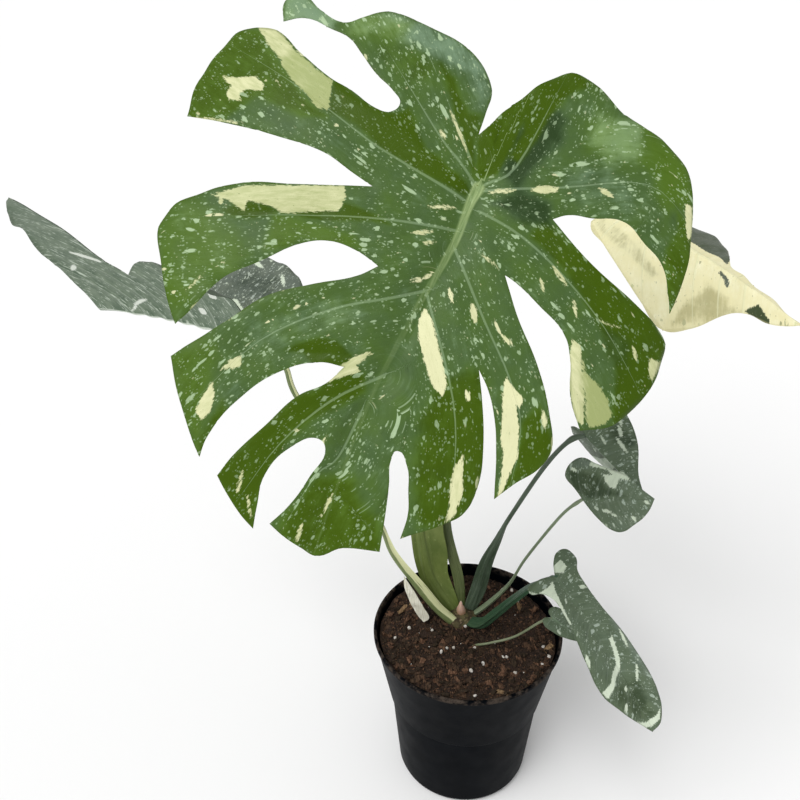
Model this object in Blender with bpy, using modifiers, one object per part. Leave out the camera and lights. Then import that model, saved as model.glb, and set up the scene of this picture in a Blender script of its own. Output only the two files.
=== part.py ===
"""A potted monstera: one large split leaf and six smaller ones, on their stalks, in a nursery pot.

Metres, +Z up. The origin is the middle of the pot's flat base, and the large leaf faces -Y.
Leaf outlines are in millimetres in the leaf's own plane: the origin where the stalk joins,
y along the midrib to the tip, x across it. A point with a third value, CORNER, is a sharp one.
The places of stalks and blades are in millimetres from the crown's middle at soil level.
"""

import math

import bmesh
import bpy
from mathutils import Vector

MM = 0.001
CORNER = 1

# Pot: a thin tapered body, and a wider flared collar above it.
POT_HEIGHT = 0.168
RIM_RADIUS = 0.084
COLLAR_HEIGHT = 0.0745
COLLAR_FOOT_RADIUS = 0.0695
BODY_TOP_RADIUS = 0.0678
BASE_RADIUS = 0.060
COLLAR_STEP = 0.002
POT_WALL = 0.0016
LIP_HEIGHT = 0.005
LIP_OVERHANG = 0.0015
BASE_BEND = 0.0075
FOOT_RING_WIDTH = 0.010
FOOT_HEIGHT = 0.003
BASE_PAD_RADIUS = 0.016
BASE_FLOOR = 0.0022
INNER_BEND = 0.011
DRAIN_HOLE_RADIUS = 0.0055
DRAIN_HOLE_COUNT = 6
POT_SIDES = 48

# Potting mix and the short stem that stands in it.
SOIL_DROP = 0.0167
SOIL_MOUND = 0.005
SOIL_BANK = 0.004
SOIL_RINGS = 6
CROWN_CENTRE = (-0.0041, 0.0253)
CROWN_RADIUS = 0.0145
CROWN_HEIGHT = 0.007
CROWN_DEPTH = 0.030
CROWN_DOME = 0.008

BLADE_THICKNESS = 0.001
BLADE_CELL = 0.014
FIT_GAP = 0.0003

STALK_START = 0.003
STALK_INSIDE = 0.55
SHEATH_SHARE = 0.35

SOIL_LEVEL = POT_HEIGHT - SOIL_DROP
CROWN_TOP = SOIL_LEVEL + SOIL_MOUND + CROWN_HEIGHT

GREEN = (0.055, 0.115, 0.022)
GREY_GREEN = (0.110, 0.160, 0.110)
CREAM = (0.720, 0.690, 0.420)


def clear_scene():
    for item in list(bpy.data.objects):
        bpy.data.objects.remove(item, do_unlink=True)


def new_collection(name):
    group = bpy.data.collections.new(name)
    bpy.context.scene.collection.children.link(group)
    return group


def material(name, colour, roughness):
    made = bpy.data.materials.new(name)
    made.use_nodes = True
    shader = made.node_tree.nodes["Principled BSDF"]
    shader.inputs["Base Color"].default_value = (*colour, 1)
    shader.inputs["Roughness"].default_value = roughness
    shader.inputs["Metallic"].default_value = 0
    return made


def add_object(name, data, finish, group):
    item = bpy.data.objects.new(name, data)
    data.materials.clear()
    data.materials.append(finish)
    group.objects.link(item)
    return item


def mesh_of_curve(curve, name):
    """The curve's own mesh, with the caps welded to the sides."""
    item = bpy.data.objects.new(name, curve)
    bpy.context.scene.collection.objects.link(item)
    graph = bpy.context.evaluated_depsgraph_get()
    mesh = bpy.data.meshes.new_from_object(item.evaluated_get(graph))
    bpy.data.objects.remove(item)
    work = bmesh.new()
    work.from_mesh(mesh)
    bmesh.ops.remove_doubles(work, verts=work.verts, dist=1e-6)
    work.to_mesh(mesh)
    work.free()
    return mesh


def turned(name, profile, finish, group, sides=POT_SIDES):
    """A closed (radius, height) profile spun about +Z. It runs down its outer side."""
    mesh = bpy.data.meshes.new(name)
    work = bmesh.new()
    points = [work.verts.new((radius, 0, height)) for radius, height in profile]
    for first, second in zip(points, points[1:]):
        work.edges.new((first, second))
    if profile[0][0] > 0:
        work.edges.new((points[-1], points[0]))
    work.to_mesh(mesh)
    work.free()
    item = add_object(name, mesh, finish, group)
    spin = item.modifiers.new("Spin", "SCREW")
    spin.steps = sides
    spin.render_steps = sides
    spin.use_merge_vertices = True
    spin.merge_threshold = 1e-5
    spin.use_smooth_shade = False
    return item


def cut(item, cutter):
    taken = item.modifiers.new("Cut " + cutter.name, "BOOLEAN")
    taken.operation = "DIFFERENCE"
    taken.solver = "EXACT"
    taken.object = cutter


def as_cutter(item):
    item.hide_render = True
    item.display_type = "WIRE"


# ---------------------------------------------------------------- pot, soil and crown


def body_radius(height):
    """Outer radius of the body below the collar."""
    share = height / (POT_HEIGHT - COLLAR_HEIGHT)
    return BASE_RADIUS + (BODY_TOP_RADIUS - BASE_RADIUS) * share


def collar_radius(height):
    """Outer radius of the flared collar, which ends under the lip."""
    share = (height - (POT_HEIGHT - COLLAR_HEIGHT)) / COLLAR_HEIGHT
    top = RIM_RADIUS - LIP_OVERHANG
    return COLLAR_FOOT_RADIUS + (top - COLLAR_FOOT_RADIUS) * share


def make_pot(finish, group, cutters):
    step = POT_HEIGHT - COLLAR_HEIGHT
    lip = POT_HEIGHT - LIP_HEIGHT
    floor_top = FOOT_HEIGHT + BASE_FLOOR
    profile = [
        (RIM_RADIUS - 0.0005, POT_HEIGHT),
        (RIM_RADIUS, POT_HEIGHT - 0.0008),
        (RIM_RADIUS, lip + 0.0008),
        (collar_radius(lip), lip),
        (COLLAR_FOOT_RADIUS, step),
        (BODY_TOP_RADIUS, step - COLLAR_STEP),
        (body_radius(BASE_BEND), BASE_BEND),
        (BASE_RADIUS - 0.0007, BASE_BEND * 0.5),
        (BASE_RADIUS - 0.0025, BASE_BEND * 0.16),
        (BASE_RADIUS - 0.0052, 0),
        (BASE_RADIUS - FOOT_RING_WIDTH, 0),
        (BASE_RADIUS - FOOT_RING_WIDTH - 0.001, FOOT_HEIGHT),
        (BASE_PAD_RADIUS + 0.001, FOOT_HEIGHT),
        (BASE_PAD_RADIUS, 0),
        (0, 0),
        (0, floor_top),
        (BASE_RADIUS - 0.007, floor_top),
        (body_radius(INNER_BEND) - POT_WALL, INNER_BEND),
        (BODY_TOP_RADIUS - POT_WALL, step - COLLAR_STEP + POT_WALL),
        (COLLAR_FOOT_RADIUS - POT_WALL, step + POT_WALL),
        (collar_radius(lip) - POT_WALL, lip),
        (collar_radius(lip) - POT_WALL + 0.0006, POT_HEIGHT),
    ]
    # The profile closes on the axis, so it is opened there and closed at the lip.
    start = profile.index((0, floor_top))
    pot = turned("pot", profile[start:] + profile[:start], finish, group)
    ring = (BASE_RADIUS - FOOT_RING_WIDTH + BASE_PAD_RADIUS) / 2
    holes = bpy.data.meshes.new("drain_holes")
    work = bmesh.new()
    for number in range(DRAIN_HOLE_COUNT):
        angle = math.tau * number / DRAIN_HOLE_COUNT
        made = bmesh.ops.create_cone(
            work, cap_ends=True, segments=16, depth=0.02,
            radius1=DRAIN_HOLE_RADIUS, radius2=DRAIN_HOLE_RADIUS,
        )
        place = (ring * math.cos(angle), ring * math.sin(angle), floor_top / 2)
        bmesh.ops.translate(work, verts=made["verts"], vec=place)
    work.to_mesh(holes)
    work.free()
    drill = add_object("drain_holes", holes, finish, cutters)
    as_cutter(drill)
    cut(pot, drill)
    return pot


def soil_height(radius):
    """Height of the soil, which is banked up a little towards the pot's wall."""
    share = radius / RIM_RADIUS
    return SOIL_LEVEL + SOIL_MOUND + SOIL_BANK * share * share


def soil_top(edge, lift):
    """Radius and height of points from the middle of the soil's top out to edge."""
    reach = [edge * number / SOIL_RINGS for number in range(SOIL_RINGS + 1)]
    return [(radius, soil_height(radius) + lift) for radius in reach]


def make_soil(finish, group):
    step = POT_HEIGHT - COLLAR_HEIGHT
    inset = POT_WALL + FIT_GAP
    floor = FOOT_HEIGHT + BASE_FLOOR + FIT_GAP
    edge = collar_radius(SOIL_LEVEL + SOIL_MOUND + SOIL_BANK) - inset - FIT_GAP
    profile = soil_top(edge, 0)
    profile += [
        (COLLAR_FOOT_RADIUS - inset - FIT_GAP, step + inset),
        (BODY_TOP_RADIUS - inset - FIT_GAP, step - COLLAR_STEP + inset),
        (body_radius(INNER_BEND) - inset - FIT_GAP, INNER_BEND + FIT_GAP),
        (BASE_RADIUS - 0.009, floor),
        (0, floor),
    ]
    return turned("soil", profile, finish, group)


def crown_profile(grow):
    """Short stem with a domed top; grow makes the hole or the clearance round it."""
    radius = CROWN_RADIUS + grow
    top = CROWN_TOP + grow
    bottom = SOIL_LEVEL - CROWN_DEPTH - grow
    arc = [math.radians(15 * n) for n in range(7)]
    profile = [(radius * math.sin(a), top - CROWN_DOME * (1 - math.cos(a))) for a in arc]
    profile[0] = (0, top)
    return profile + [(radius, SOIL_LEVEL), (radius * 0.7, bottom), (0, bottom)]


def make_crown(finish, group):
    crown = turned("crown", crown_profile(0), finish, group, sides=24)
    crown.location = (*CROWN_CENTRE, 0)
    return crown


def crown_clearance(finish, cutters):
    cutter = turned("crown_clearance", crown_profile(FIT_GAP), finish, cutters, sides=24)
    cutter.location = (*CROWN_CENTRE, 0)
    as_cutter(cutter)
    return cutter


def soil_clearance(finish, cutters):
    """The soil's top with a gap over it, which stalks and roots stop at."""
    edge = RIM_RADIUS
    low = SOIL_LEVEL - CROWN_DEPTH
    profile = soil_top(edge, FIT_GAP) + [(edge, low), (0, low)]
    cutter = turned("soil_clearance", profile, finish, cutters)
    as_cutter(cutter)
    return cutter


# ---------------------------------------------------------------- stalks


def smooth_route(points, pieces):
    """Points on the smooth curve through the given ones, with pieces steps between each pair."""
    ends = [points[0] * 2 - points[1]] + points + [points[-1] * 2 - points[-2]]
    route = []
    for a, b, c, d in zip(ends, ends[1:], ends[2:], ends[3:]):
        for step in range(pieces):
            t = step / pieces
            route.append(
                0.5 * ((2 * b) + (c - a) * t + (2 * a - 5 * b + 4 * c - d) * t * t
                       + (3 * b - a - 3 * c + d) * t ** 3)
            )
    return route + [points[-1]]


def from_crown(place):
    """A place given in millimetres from the crown's middle at soil level, in metres."""
    return Vector((*CROWN_CENTRE, SOIL_LEVEL)) + Vector(place) * MM


def make_tube(name, route, widths, cutters, finish, group):
    """A round tube along route with a width at each point, cut where it meets its neighbours."""
    curve = bpy.data.curves.new(name, "CURVE")
    curve.dimensions = "3D"
    curve.bevel_depth = 1
    curve.bevel_resolution = 2
    curve.use_fill_caps = True
    spline = curve.splines.new("POLY")
    spline.points.add(len(route) - 1)
    for point, place, width in zip(spline.points, route, widths):
        point.co = (*place, 1)
        point.radius = width / 2
    tube = add_object(name, mesh_of_curve(curve, name), finish, group)
    tube.data.shade_smooth()
    for cutter in cutters:
        cut(tube, cutter)
    return tube


def make_stalk(name, leaf, cutters, finish, group):
    """A leaf's stalk, from the crown, where its foot swells into a sheath, to just short of the blade."""
    inside = STALK_INSIDE * CROWN_RADIUS / MM
    angle = math.radians(leaf["bearing"])
    start = (inside * math.cos(angle), inside * math.sin(angle), STALK_START / MM)
    foot = leaf["foot"] * CROWN_RADIUS / MM
    top = leaf["top"]
    last = Vector(leaf["stalk"][-1])
    end = Vector(leaf["place"])
    end -= (end - last).normalized() * (leaf["short"] + (BLADE_THICKNESS / 2 + FIT_GAP) / MM)
    route = smooth_route([from_crown(point) for point in [start] + leaf["stalk"] + [end]], 4)
    widths = []
    for number in range(len(route)):
        swell = max(0, 1 - number / (len(route) - 1) / SHEATH_SHARE)
        widths.append((top + (foot - top) * swell ** 1.3) * MM)
    return make_tube(name, route, widths, cutters, finish, group)


# ---------------------------------------------------------------- blades


def bent(x, y, shape):
    """Where a flat point of a blade goes once it is folded, curled and drooped."""
    fold, curl, droop, hang, hang_from = shape
    fold = math.radians(fold)
    curl = math.radians(curl) / 100
    droop = math.radians(droop) / 100
    side = abs(x)
    slope = fold - curl * side
    across = (math.sin(fold) - math.sin(slope)) / curl
    rise = (math.cos(slope) - math.cos(fold)) / curl - hang * max(0, side - hang_from) ** 2
    turn = y * droop
    radius = 1 / droop
    return Vector((
        math.copysign(across, x),
        (radius + rise) * math.sin(turn),
        (radius + rise) * math.cos(turn) - radius,
    ))


def flat_blade(name, outline):
    """The outline as one flat face, cut into cells small enough to bend."""
    curve = bpy.data.curves.new(name, "CURVE")
    curve.dimensions = "2D"
    curve.fill_mode = "BOTH"
    curve.resolution_u = 2
    spline = curve.splines.new("BEZIER")
    spline.use_cyclic_u = True
    spline.bezier_points.add(len(outline) - 1)
    for point, place in zip(spline.bezier_points, outline):
        kind = "VECTOR" if len(place) == 3 else "AUTO"
        point.co = (place[0] * MM, place[1] * MM, 0)
        point.handle_left_type = kind
        point.handle_right_type = kind
    mesh = mesh_of_curve(curve, name)
    work = bmesh.new()
    work.from_mesh(mesh)
    bmesh.ops.dissolve_faces(work, faces=work.faces, use_verts=False)
    for axis in (0, 1):
        reach = [vertex.co[axis] for vertex in work.verts]
        first = math.ceil(min(reach) / BLADE_CELL)
        last = math.floor(max(reach) / BLADE_CELL)
        for number in range(first, last + 1):
            line = [0, 0, 0]
            line[axis] = number * BLADE_CELL
            normal = [0, 0, 0]
            normal[axis] = 1
            everything = work.verts[:] + work.edges[:] + work.faces[:]
            bmesh.ops.bisect_plane(work, geom=everything, dist=1e-6, plane_co=line, plane_no=normal)
    bmesh.ops.remove_doubles(work, verts=work.verts, dist=2e-4)
    bmesh.ops.triangulate(work, faces=work.faces)
    bmesh.ops.recalc_face_normals(work, faces=work.faces)
    if sum(face.normal.z for face in work.faces) < 0:
        bmesh.ops.reverse_faces(work, faces=work.faces)
    work.to_mesh(mesh)
    work.free()
    return mesh


def add_blade(name, mesh, place, turn, finish, group):
    """The bent sheet at its place, turned by heading, pitch and roll in degrees."""
    blade = add_object(name, mesh, finish, group)
    heading, pitch, roll = turn
    blade.rotation_mode = "YXZ"
    blade.rotation_euler = (math.radians(pitch), math.radians(roll), math.radians(heading - 90))
    blade.location = from_crown(place)
    skin = blade.modifiers.new("Thickness", "SOLIDIFY")
    skin.thickness = BLADE_THICKNESS
    skin.offset = 0
    return blade


def bent_sheet(name, outline, shape):
    mesh = flat_blade(name, outline)
    for vertex in mesh.vertices:
        vertex.co = bent(vertex.co.x / MM, vertex.co.y / MM, shape) * MM
    mesh.shade_smooth()
    return mesh


def make_leaf(leaf, stalk_cutters, stalk_skin, group):
    """A blade and its stalk, which stops a small gap short of the blade and the crown."""
    name = leaf["name"]
    skin = material(name + "_skin", leaf["colour"], 0.4)
    mesh = bent_sheet(name + "_blade", leaf["outline"], leaf["shape"])
    add_blade(name + "_blade", mesh, leaf["place"], leaf["turn"], skin, group)
    make_stalk(name + "_petiole", leaf, stalk_cutters, stalk_skin, group)


# The large leaf, lobe by lobe: left side from the base to the tip, then the right side back.
MAIN_OUTLINE = [
    (12, -30, CORNER), (13, -45), (15, -61), (25, -72), (43, -80), (68, -83), (92, -82),
    (105, -72), (114, -64), (130, -67), (148, -75), (154, -67), (149, -53, CORNER),
    (138, -59), (119, -57), (106, -55), (96, -49), (82, -40), (69, -34), (62, -28),
    (66, -20), (74, -19), (92, -24), (106, -26), (129, -35), (150, -46), (164, -45),
    (175, -38), (181, -24), (186, -2), (183, 23, CORNER), (159, 21), (125, 19), (91, 18),
    (72, 22), (57, 25, CORNER),
    (70, 30), (95, 40), (129, 52), (146, 63), (163, 79), (168, 96), (157, 116), (138, 141),
    (133, 146, CORNER), (126, 132), (118, 112), (98, 90), (82, 73), (67, 65), (50, 64),
    (35, 67, CORNER),
    (44, 77), (66, 92), (89, 110), (105, 133), (121, 155), (128, 165, CORNER), (112, 187),
    (96, 205), (88, 213, CORNER), (88, 198), (79, 170), (63, 146), (44, 132), (30, 129, CORNER),
    (36, 142), (48, 155), (59, 179), (70, 204), (74, 219, CORNER), (66, 226), (52, 236),
    (42, 241, CORNER), (45, 227), (48, 207), (40, 185), (27, 174), (21, 178), (23, 197),
    (27, 217), (34, 234, CORNER),
    (24, 238), (11, 241), (1, 243), (-13, 230), (-34, 223, CORNER), (-28, 200), (-23, 183),
    (-18, 168), (-19, 162), (-28, 168), (-35, 182), (-40, 194), (-42, 210, CORNER),
    (-51, 202), (-61, 193), (-70, 183), (-72, 164), (-65, 140), (-52, 113), (-44, 99, CORNER),
    (-54, 108), (-64, 122), (-72, 137), (-84, 166, CORNER), (-92, 152), (-101, 138),
    (-103, 125), (-91, 104), (-74, 82), (-52, 61), (-40, 47), (-36, 42, CORNER),
    (-42, 43), (-61, 50), (-83, 60), (-91, 71), (-100, 92), (-114, 108, CORNER), (-132, 97),
    (-146, 67), (-144, 38), (-116, 25), (-76, 13), (-49, 0, CORNER),
    (-57, -7), (-71, -11), (-88, -17), (-106, -11), (-122, -4), (-133, 12),
    (-138, 20, CORNER), (-138, -3), (-132, -33), (-124, -54), (-113, -68), (-93, -78),
    (-79, -80), (-66, -82), (-46, -92), (-26, -93), (-11, -77), (-3, -62), (4, -50), (8, -39),
]

LEFT_OUTLINE = [
    (0, -6, CORNER), (15, -40), (43, -50), (72, -28), (88, 5), (91, 29), (84, 60), (80, 95),
    (58, 122), (25, 140), (-3, 151, CORNER), (-20, 152), (-57, 147), (-111, 127), (-160, 88),
    (-176, 65, CORNER), (-160, 66), (-123, 70), (-74, 73), (-58, 62, CORNER), (-77, 38),
    (-90, 8), (-84, -25), (-60, -48), (-30, -46), (-8, -22),
]

CREAM_OUTLINE = [
    (0, -4, CORNER), (7, -6), (13, -16), (22, -20), (34, 0), (45, 22), (59, 53), (69, 84), (55, 103),
    (29, 119), (20, 130), (15, 150), (6, 163), (0, 169, CORNER), (-5, 140), (-8, 112),
    (-14, 96), (-44, 86), (-60, 66), (-50, 45), (-38, 10), (-28, -16),
    (-17, -19), (-7, -6),
]

HANGING_OUTLINE = [
    (0, -3, CORNER), (14, -14), (28, -10), (34, 8), (28, 28), (12, 50), (0, 66, CORNER),
    (-9, 51), (-26, 34), (-37, 12), (-38, -8), (-28, -18), (-12, -14),
]

SMALL_OUTLINE = [
    (0, -1, CORNER), (-9, -7), (-19, -14), (-28, -10), (-33, 0), (-28, 13), (-23, 25),
    (-18, 38), (-8, 48), (0, 58, CORNER), (11, 53), (21, 42), (26, 33), (24, 24), (17, 15),
    (7, 5),
]

LOW_OUTLINE = [
    (0, -2, CORNER), (-8, -13), (-17, -17), (-25, -14), (-27, -4), (-20, 5), (-18, 20),
    (-19, 40), (-22, 62), (-23, 82), (-23, 113), (-19, 128), (-9, 140), (1, 142, CORNER), (8, 132),
    (22, 110), (29, 90), (26, 66), (22, 48), (18, 33), (17, 17), (22, 5), (32, -4), (19, -7),
]

TUCKED_OUTLINE = [
    (0, -1, CORNER), (-4, -6), (-9, -4), (-11, 4), (-8, 18), (0, 36, CORNER), (7, 22),
    (10, 6), (8, -4), (4, -6),
]

# The dry sheath leans to the left as it rises: x to the right, y up.
SHEATH_OUTLINE = [
    (0, -1, CORNER), (5, 4), (1, 14), (-5, 26), (-11, 37), (-17, 47, CORNER), (-17, 37),
    (-15, 29), (-12, 20), (-8, 11), (-4, 4),
]

# Each leaf: its blade's colour, outline, place, turn (heading, pitch and roll in degrees) and shape
# (fold at the midrib and curl and droop for each 100 mm in degrees, then how fast and from where
# its sides hang), and its stalk's bearing at the crown, route, width at the foot (as a share of
# the crown's radius) and at the top, and how far it ends short of the blade.
LEAVES = [
    {"name": "main", "colour": GREEN, "outline": MAIN_OUTLINE,
     "place": (-11, -90, 452), "turn": (-123, -44, -29), "shape": (6, 12, 8, 0.0012, 90),
     "bearing": 142, "foot": 0.862, "top": 6, "short": 1,
     "stalk": [(-23, 13, 27), (-33, 17, 55), (-40, 22, 115), (-38, 29, 215), (-29, 21, 325),
                   (-17, -17, 410), (-12, -59, 437)],
     },
    {"name": "left", "colour": GREY_GREEN, "outline": LEFT_OUTLINE,
     "place": (-199, 38, 282), "turn": (144, -5, 20), "shape": (45, 15, 6, 0, 0),
     "bearing": 220, "foot": 0.76, "top": 5, "short": 2.5,
     "stalk": [(-24, -3, 21), (-45, 0, 51), (-63, 2, 81), (-75, 5, 115), (-107, 20, 173),
                   (-142, 34, 224), (-151, 39, 251), (-169, 40, 269), (-191, 39, 278)],
     },
    {"name": "cream", "colour": CREAM, "outline": CREAM_OUTLINE,
     "place": (133, 128, 347), "turn": (-36, -13, 16), "shape": (-20, 25, 10, 0, 0),
     "bearing": 86, "foot": 0.552, "top": 5, "short": 6,
     "stalk": [(-3, 19, 37), (-15, 31, 90), (-15, 49, 157), (-9, 72, 215), (0, 96, 262),
                   (16, 117, 303), (41, 129, 329), (75, 136, 350), (107, 138, 358),
                   (122, 135, 352)],
     },
    {"name": "hanging", "colour": GREY_GREEN, "outline": HANGING_OUTLINE,
     "place": (90, -15, 219), "turn": (-42, -30, 75), "shape": (-45, 20, 10, 0, 0),
     "bearing": 42, "foot": 0.62, "top": 4, "short": 2,
     "stalk": [(14, 8, 31), (20, 7, 65), (29, 8, 90), (38, 10, 112), (62, -1, 176),
                   (78, -11, 210)],
     },
    {"name": "small", "colour": GREY_GREEN, "outline": SMALL_OUTLINE,
     "place": (89, -39, 174), "turn": (-28, 21, 54), "shape": (12, 30, 10, 0, 0),
     "bearing": 6, "foot": 0.345, "top": 2.6, "short": 0.6,
     "stalk": [(25, 2, 19), (41, -2, 46), (52, -9, 82), (69, -23, 131), (79, -31, 156)],
     },
    {"name": "low", "colour": GREY_GREEN, "outline": LOW_OUTLINE,
     "place": (72, -55, 104), "turn": (-48, -30, 0), "shape": (10, 30, 12, 0, 0),
     "bearing": -42, "foot": 0.62, "top": 5, "short": 1,
     "stalk": [(17, -21, 15), (29, -24, 30), (42, -26, 48), (55, -33, 71), (64, -43, 89)],
     },
    {"name": "tucked", "colour": GREY_GREEN, "outline": TUCKED_OUTLINE,
     "place": (73, -51, 54), "turn": (-34, -13, 27), "shape": (10, 30, 10, 0, 0),
     "bearing": -108, "foot": 0.31, "top": 2.2, "short": 1,
     "stalk": [(5, -27, -4), (13, -37, 7), (25, -40, 13), (45, -41, 22), (65, -45, 44)],
     },
]


def make_growing_tip(cutters, finish, group):
    """The pointed young sheath that stands on the crown."""
    points = [(0, -1, 9), (-0.5, -1.5, 16), (-1, -2.5, 22), (-1, -3, 27)]
    route = smooth_route([from_crown(point) for point in points], 2)
    widths = [(8 - 6 * number / (len(route) - 1)) * MM for number in range(len(route))]
    make_tube("growing_tip", route, widths, cutters, finish, group)


def make_papery_sheath(finish, group):
    """The dry wing that stands beside the left stalk."""
    mesh = bent_sheet("papery_sheath", SHEATH_OUTLINE, (0, 20, 4, 0, 0))
    add_blade("papery_sheath", mesh, (-35, -11.5, 10), (102, 82, -22), finish, group)


def main():
    clear_scene()
    group = new_collection("potted_monstera")
    cutters = new_collection("cutters")
    helper = material("helper", (0.5, 0.5, 0.5), 0.5)
    make_pot(material("pot_plastic", (0.012, 0.013, 0.017), 0.45), group, cutters)
    soil = make_soil(material("potting_mix", (0.085, 0.045, 0.028), 0.95), group)
    make_crown(material("crown_skin", (0.140, 0.130, 0.060), 0.7), group)
    crown_gap = crown_clearance(helper, cutters)
    soil_gap = soil_clearance(helper, cutters)
    cut(soil, crown_gap)
    stalk_skin = material("stalk_skin", (0.075, 0.125, 0.035), 0.4)
    for leaf in LEAVES:
        make_leaf(leaf, [crown_gap, soil_gap], stalk_skin, group)
    make_growing_tip([crown_gap], material("tip_skin", (0.480, 0.280, 0.200), 0.6), group)
    make_papery_sheath(material("dry_sheath", (0.620, 0.580, 0.500), 0.8), group)


main()
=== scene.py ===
"""Looks of the potted monstera: fine leaf blades, stalks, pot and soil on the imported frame.

Metres, +Z up. Leaf outlines, veins and marks are in millimetres in the leaf's own plane: the
origin where the stalk joins, y along the midrib to the tip, x across it. Places of leaves and
routes of stalks are in millimetres from the crown's middle at soil level.
"""

import math
import random

import bmesh
import bpy
import numpy as np
from mathutils import Matrix, Vector


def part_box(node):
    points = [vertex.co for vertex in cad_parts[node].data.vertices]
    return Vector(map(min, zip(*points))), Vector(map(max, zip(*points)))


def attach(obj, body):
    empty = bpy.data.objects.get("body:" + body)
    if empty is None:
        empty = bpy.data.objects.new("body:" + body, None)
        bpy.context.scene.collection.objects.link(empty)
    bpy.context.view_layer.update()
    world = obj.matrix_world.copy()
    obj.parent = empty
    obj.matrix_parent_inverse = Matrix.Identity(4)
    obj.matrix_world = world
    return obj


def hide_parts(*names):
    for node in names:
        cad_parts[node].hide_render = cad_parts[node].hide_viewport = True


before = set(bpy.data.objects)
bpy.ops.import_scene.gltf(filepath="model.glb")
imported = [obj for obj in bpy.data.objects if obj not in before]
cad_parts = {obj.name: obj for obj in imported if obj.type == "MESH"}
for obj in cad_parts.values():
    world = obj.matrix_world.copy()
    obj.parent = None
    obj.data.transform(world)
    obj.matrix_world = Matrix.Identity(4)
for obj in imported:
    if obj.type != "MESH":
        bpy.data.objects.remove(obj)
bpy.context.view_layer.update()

MM = 0.001

# The third number of an outline's point where the outline has a corner.
CORNER = 1

# The crown stands this far above the soil's level under its middle.
CROWN_RISE = 0.012
crown_low, crown_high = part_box("crown")
pot_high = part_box("pot")[1]
SOIL_LEVEL = crown_high.z - CROWN_RISE
CROWN = Vector(((crown_low.x + crown_high.x) / 2, (crown_low.y + crown_high.y) / 2, SOIL_LEVEL))

# A blade's thickness between its veins, and at the foot of its midrib.
BLADE_THICKNESS = 0.0006
RIB_DEPTH = 0.0030

# The UV maps Grain, Rib and Flat count in stretches of this many millimetres.
MAP_UNIT = 10

# Distances in millimetres: one that anything measured beats, and a blade's without marks. Away from
# its marks a blade is washed this much.
VERY_FAR = 1e9
NO_MARK = 50.0
NO_MARK_WASH = 0.25


# ---------------------------------------------------------------- modelling by operators


def deselect():
    bpy.ops.object.select_all(action="DESELECT")


def take(item):
    """Makes this the one selected and active object."""
    deselect()
    item.select_set(True)
    bpy.context.view_layer.objects.active = item


def apply_modifiers(item):
    take(item)
    for modifier in list(item.modifiers):
        bpy.ops.object.modifier_apply(modifier=modifier.name)


def smooth(item, degrees=35):
    take(item)
    bpy.ops.object.shade_smooth_by_angle(angle=math.radians(degrees))


def new_object(name, mesh):
    item = bpy.data.objects.new(name, mesh)
    bpy.context.scene.collection.objects.link(item)
    return item


def finish_piece(item, slot, *nodes):
    """Puts a finished piece on the body and hides the nodes that it stands for; slot is not used."""
    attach(item, "root")
    if nodes:
        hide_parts(*nodes)
    return item


# ---------------------------------------------------------------- shader nodes


def node(tree, kind, values=None, **settings):
    """A shader node with its settings, and its sockets set or linked."""
    made = tree.nodes.new("ShaderNode" + kind)
    for key, value in settings.items():
        setattr(made, key, value)
    for key, value in (values or {}).items():
        socket = made.inputs[key]
        if isinstance(value, bpy.types.NodeSocket):
            tree.links.new(value, socket)
        else:
            socket.default_value = value
    return made


def calc(tree, operation, first, second=0.0, third=0.0):
    """A sum of one, two or three numbers."""
    values = {0: first, 1: second, 2: third}
    return node(tree, "Math", values, operation=operation).outputs[0]


def mix(tree, share, first, second):
    """First colour where share is 0, second where it is 1."""
    values = {0: share}
    for key, colour in ((6, first), (7, second)):
        values[key] = (*colour, 1) if isinstance(colour, tuple) else colour
    return node(tree, "Mix", values, data_type="RGBA").outputs[2]


def between(tree, value, low, high):
    """0 at low and 1 at high, eased between them; low may be above high."""
    values = {0: value, 1: low, 2: high, 3: 0.0, 4: 1.0}
    if low > high:
        values = {0: value, 1: high, 2: low, 3: 1.0, 4: 0.0}
    return node(tree, "MapRange", values, interpolation_type="SMOOTHSTEP").outputs[0]


def noise(tree, vector, scale, detail=3.0, roughness=0.55):
    """Soft cloudy noise, mostly from 0.3 to 0.7."""
    values = {"Vector": vector, "Scale": scale, "Detail": detail, "Roughness": roughness}
    return node(tree, "TexNoise", values).outputs[0]


def stretched(tree, vector, scale, turn=(0, 0, 0), move=(0, 0, 0)):
    """The place that a pattern reads, scaled, turned and moved."""
    values = {"Vector": vector, "Scale": scale, "Rotation": turn, "Location": move}
    return node(tree, "Mapping", values).outputs[0]


def attribute(tree, name):
    return node(tree, "Attribute", attribute_name=name).outputs[2]


def uv_place(tree, name):
    return node(tree, "UVMap", uv_map=name).outputs[0]


def object_place(tree):
    return node(tree, "TexCoord").outputs["Object"]


def part_of(tree, place, number):
    """The x, y or z of a place, by its number."""
    return node(tree, "SeparateXYZ", {0: place}).outputs[number]


def new_finish(name, roughness=0.5, **sockets):
    """A material and its tree, with the Principled shader's own sockets set."""
    made = bpy.data.materials.new(name)
    made.use_nodes = True
    tree = made.node_tree
    shader = tree.nodes["Principled BSDF"]
    shader.inputs["Roughness"].default_value = roughness
    for key, value in sockets.items():
        shader.inputs[key.replace("_", " ")].default_value = value
    return made, tree, shader


def connect(tree, shader, colour, roughness=None, height=None, strength=0.3, distance=0.001):
    """Links the colour, and the roughness and the bump where they vary."""
    tree.links.new(colour, shader.inputs["Base Color"])
    if roughness is not None:
        tree.links.new(roughness, shader.inputs["Roughness"])
    if height is not None:
        values = {"Height": height, "Strength": strength, "Distance": distance}
        tree.links.new(node(tree, "Bump", values).outputs[0], shader.inputs["Normal"])


# ---------------------------------------------------------------- leaf finishes


# How far apart the side veins' own stretches of the Grain map lie, along and across.
GRAIN_ALONG = 37
GRAIN_ACROSS = 11


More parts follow.
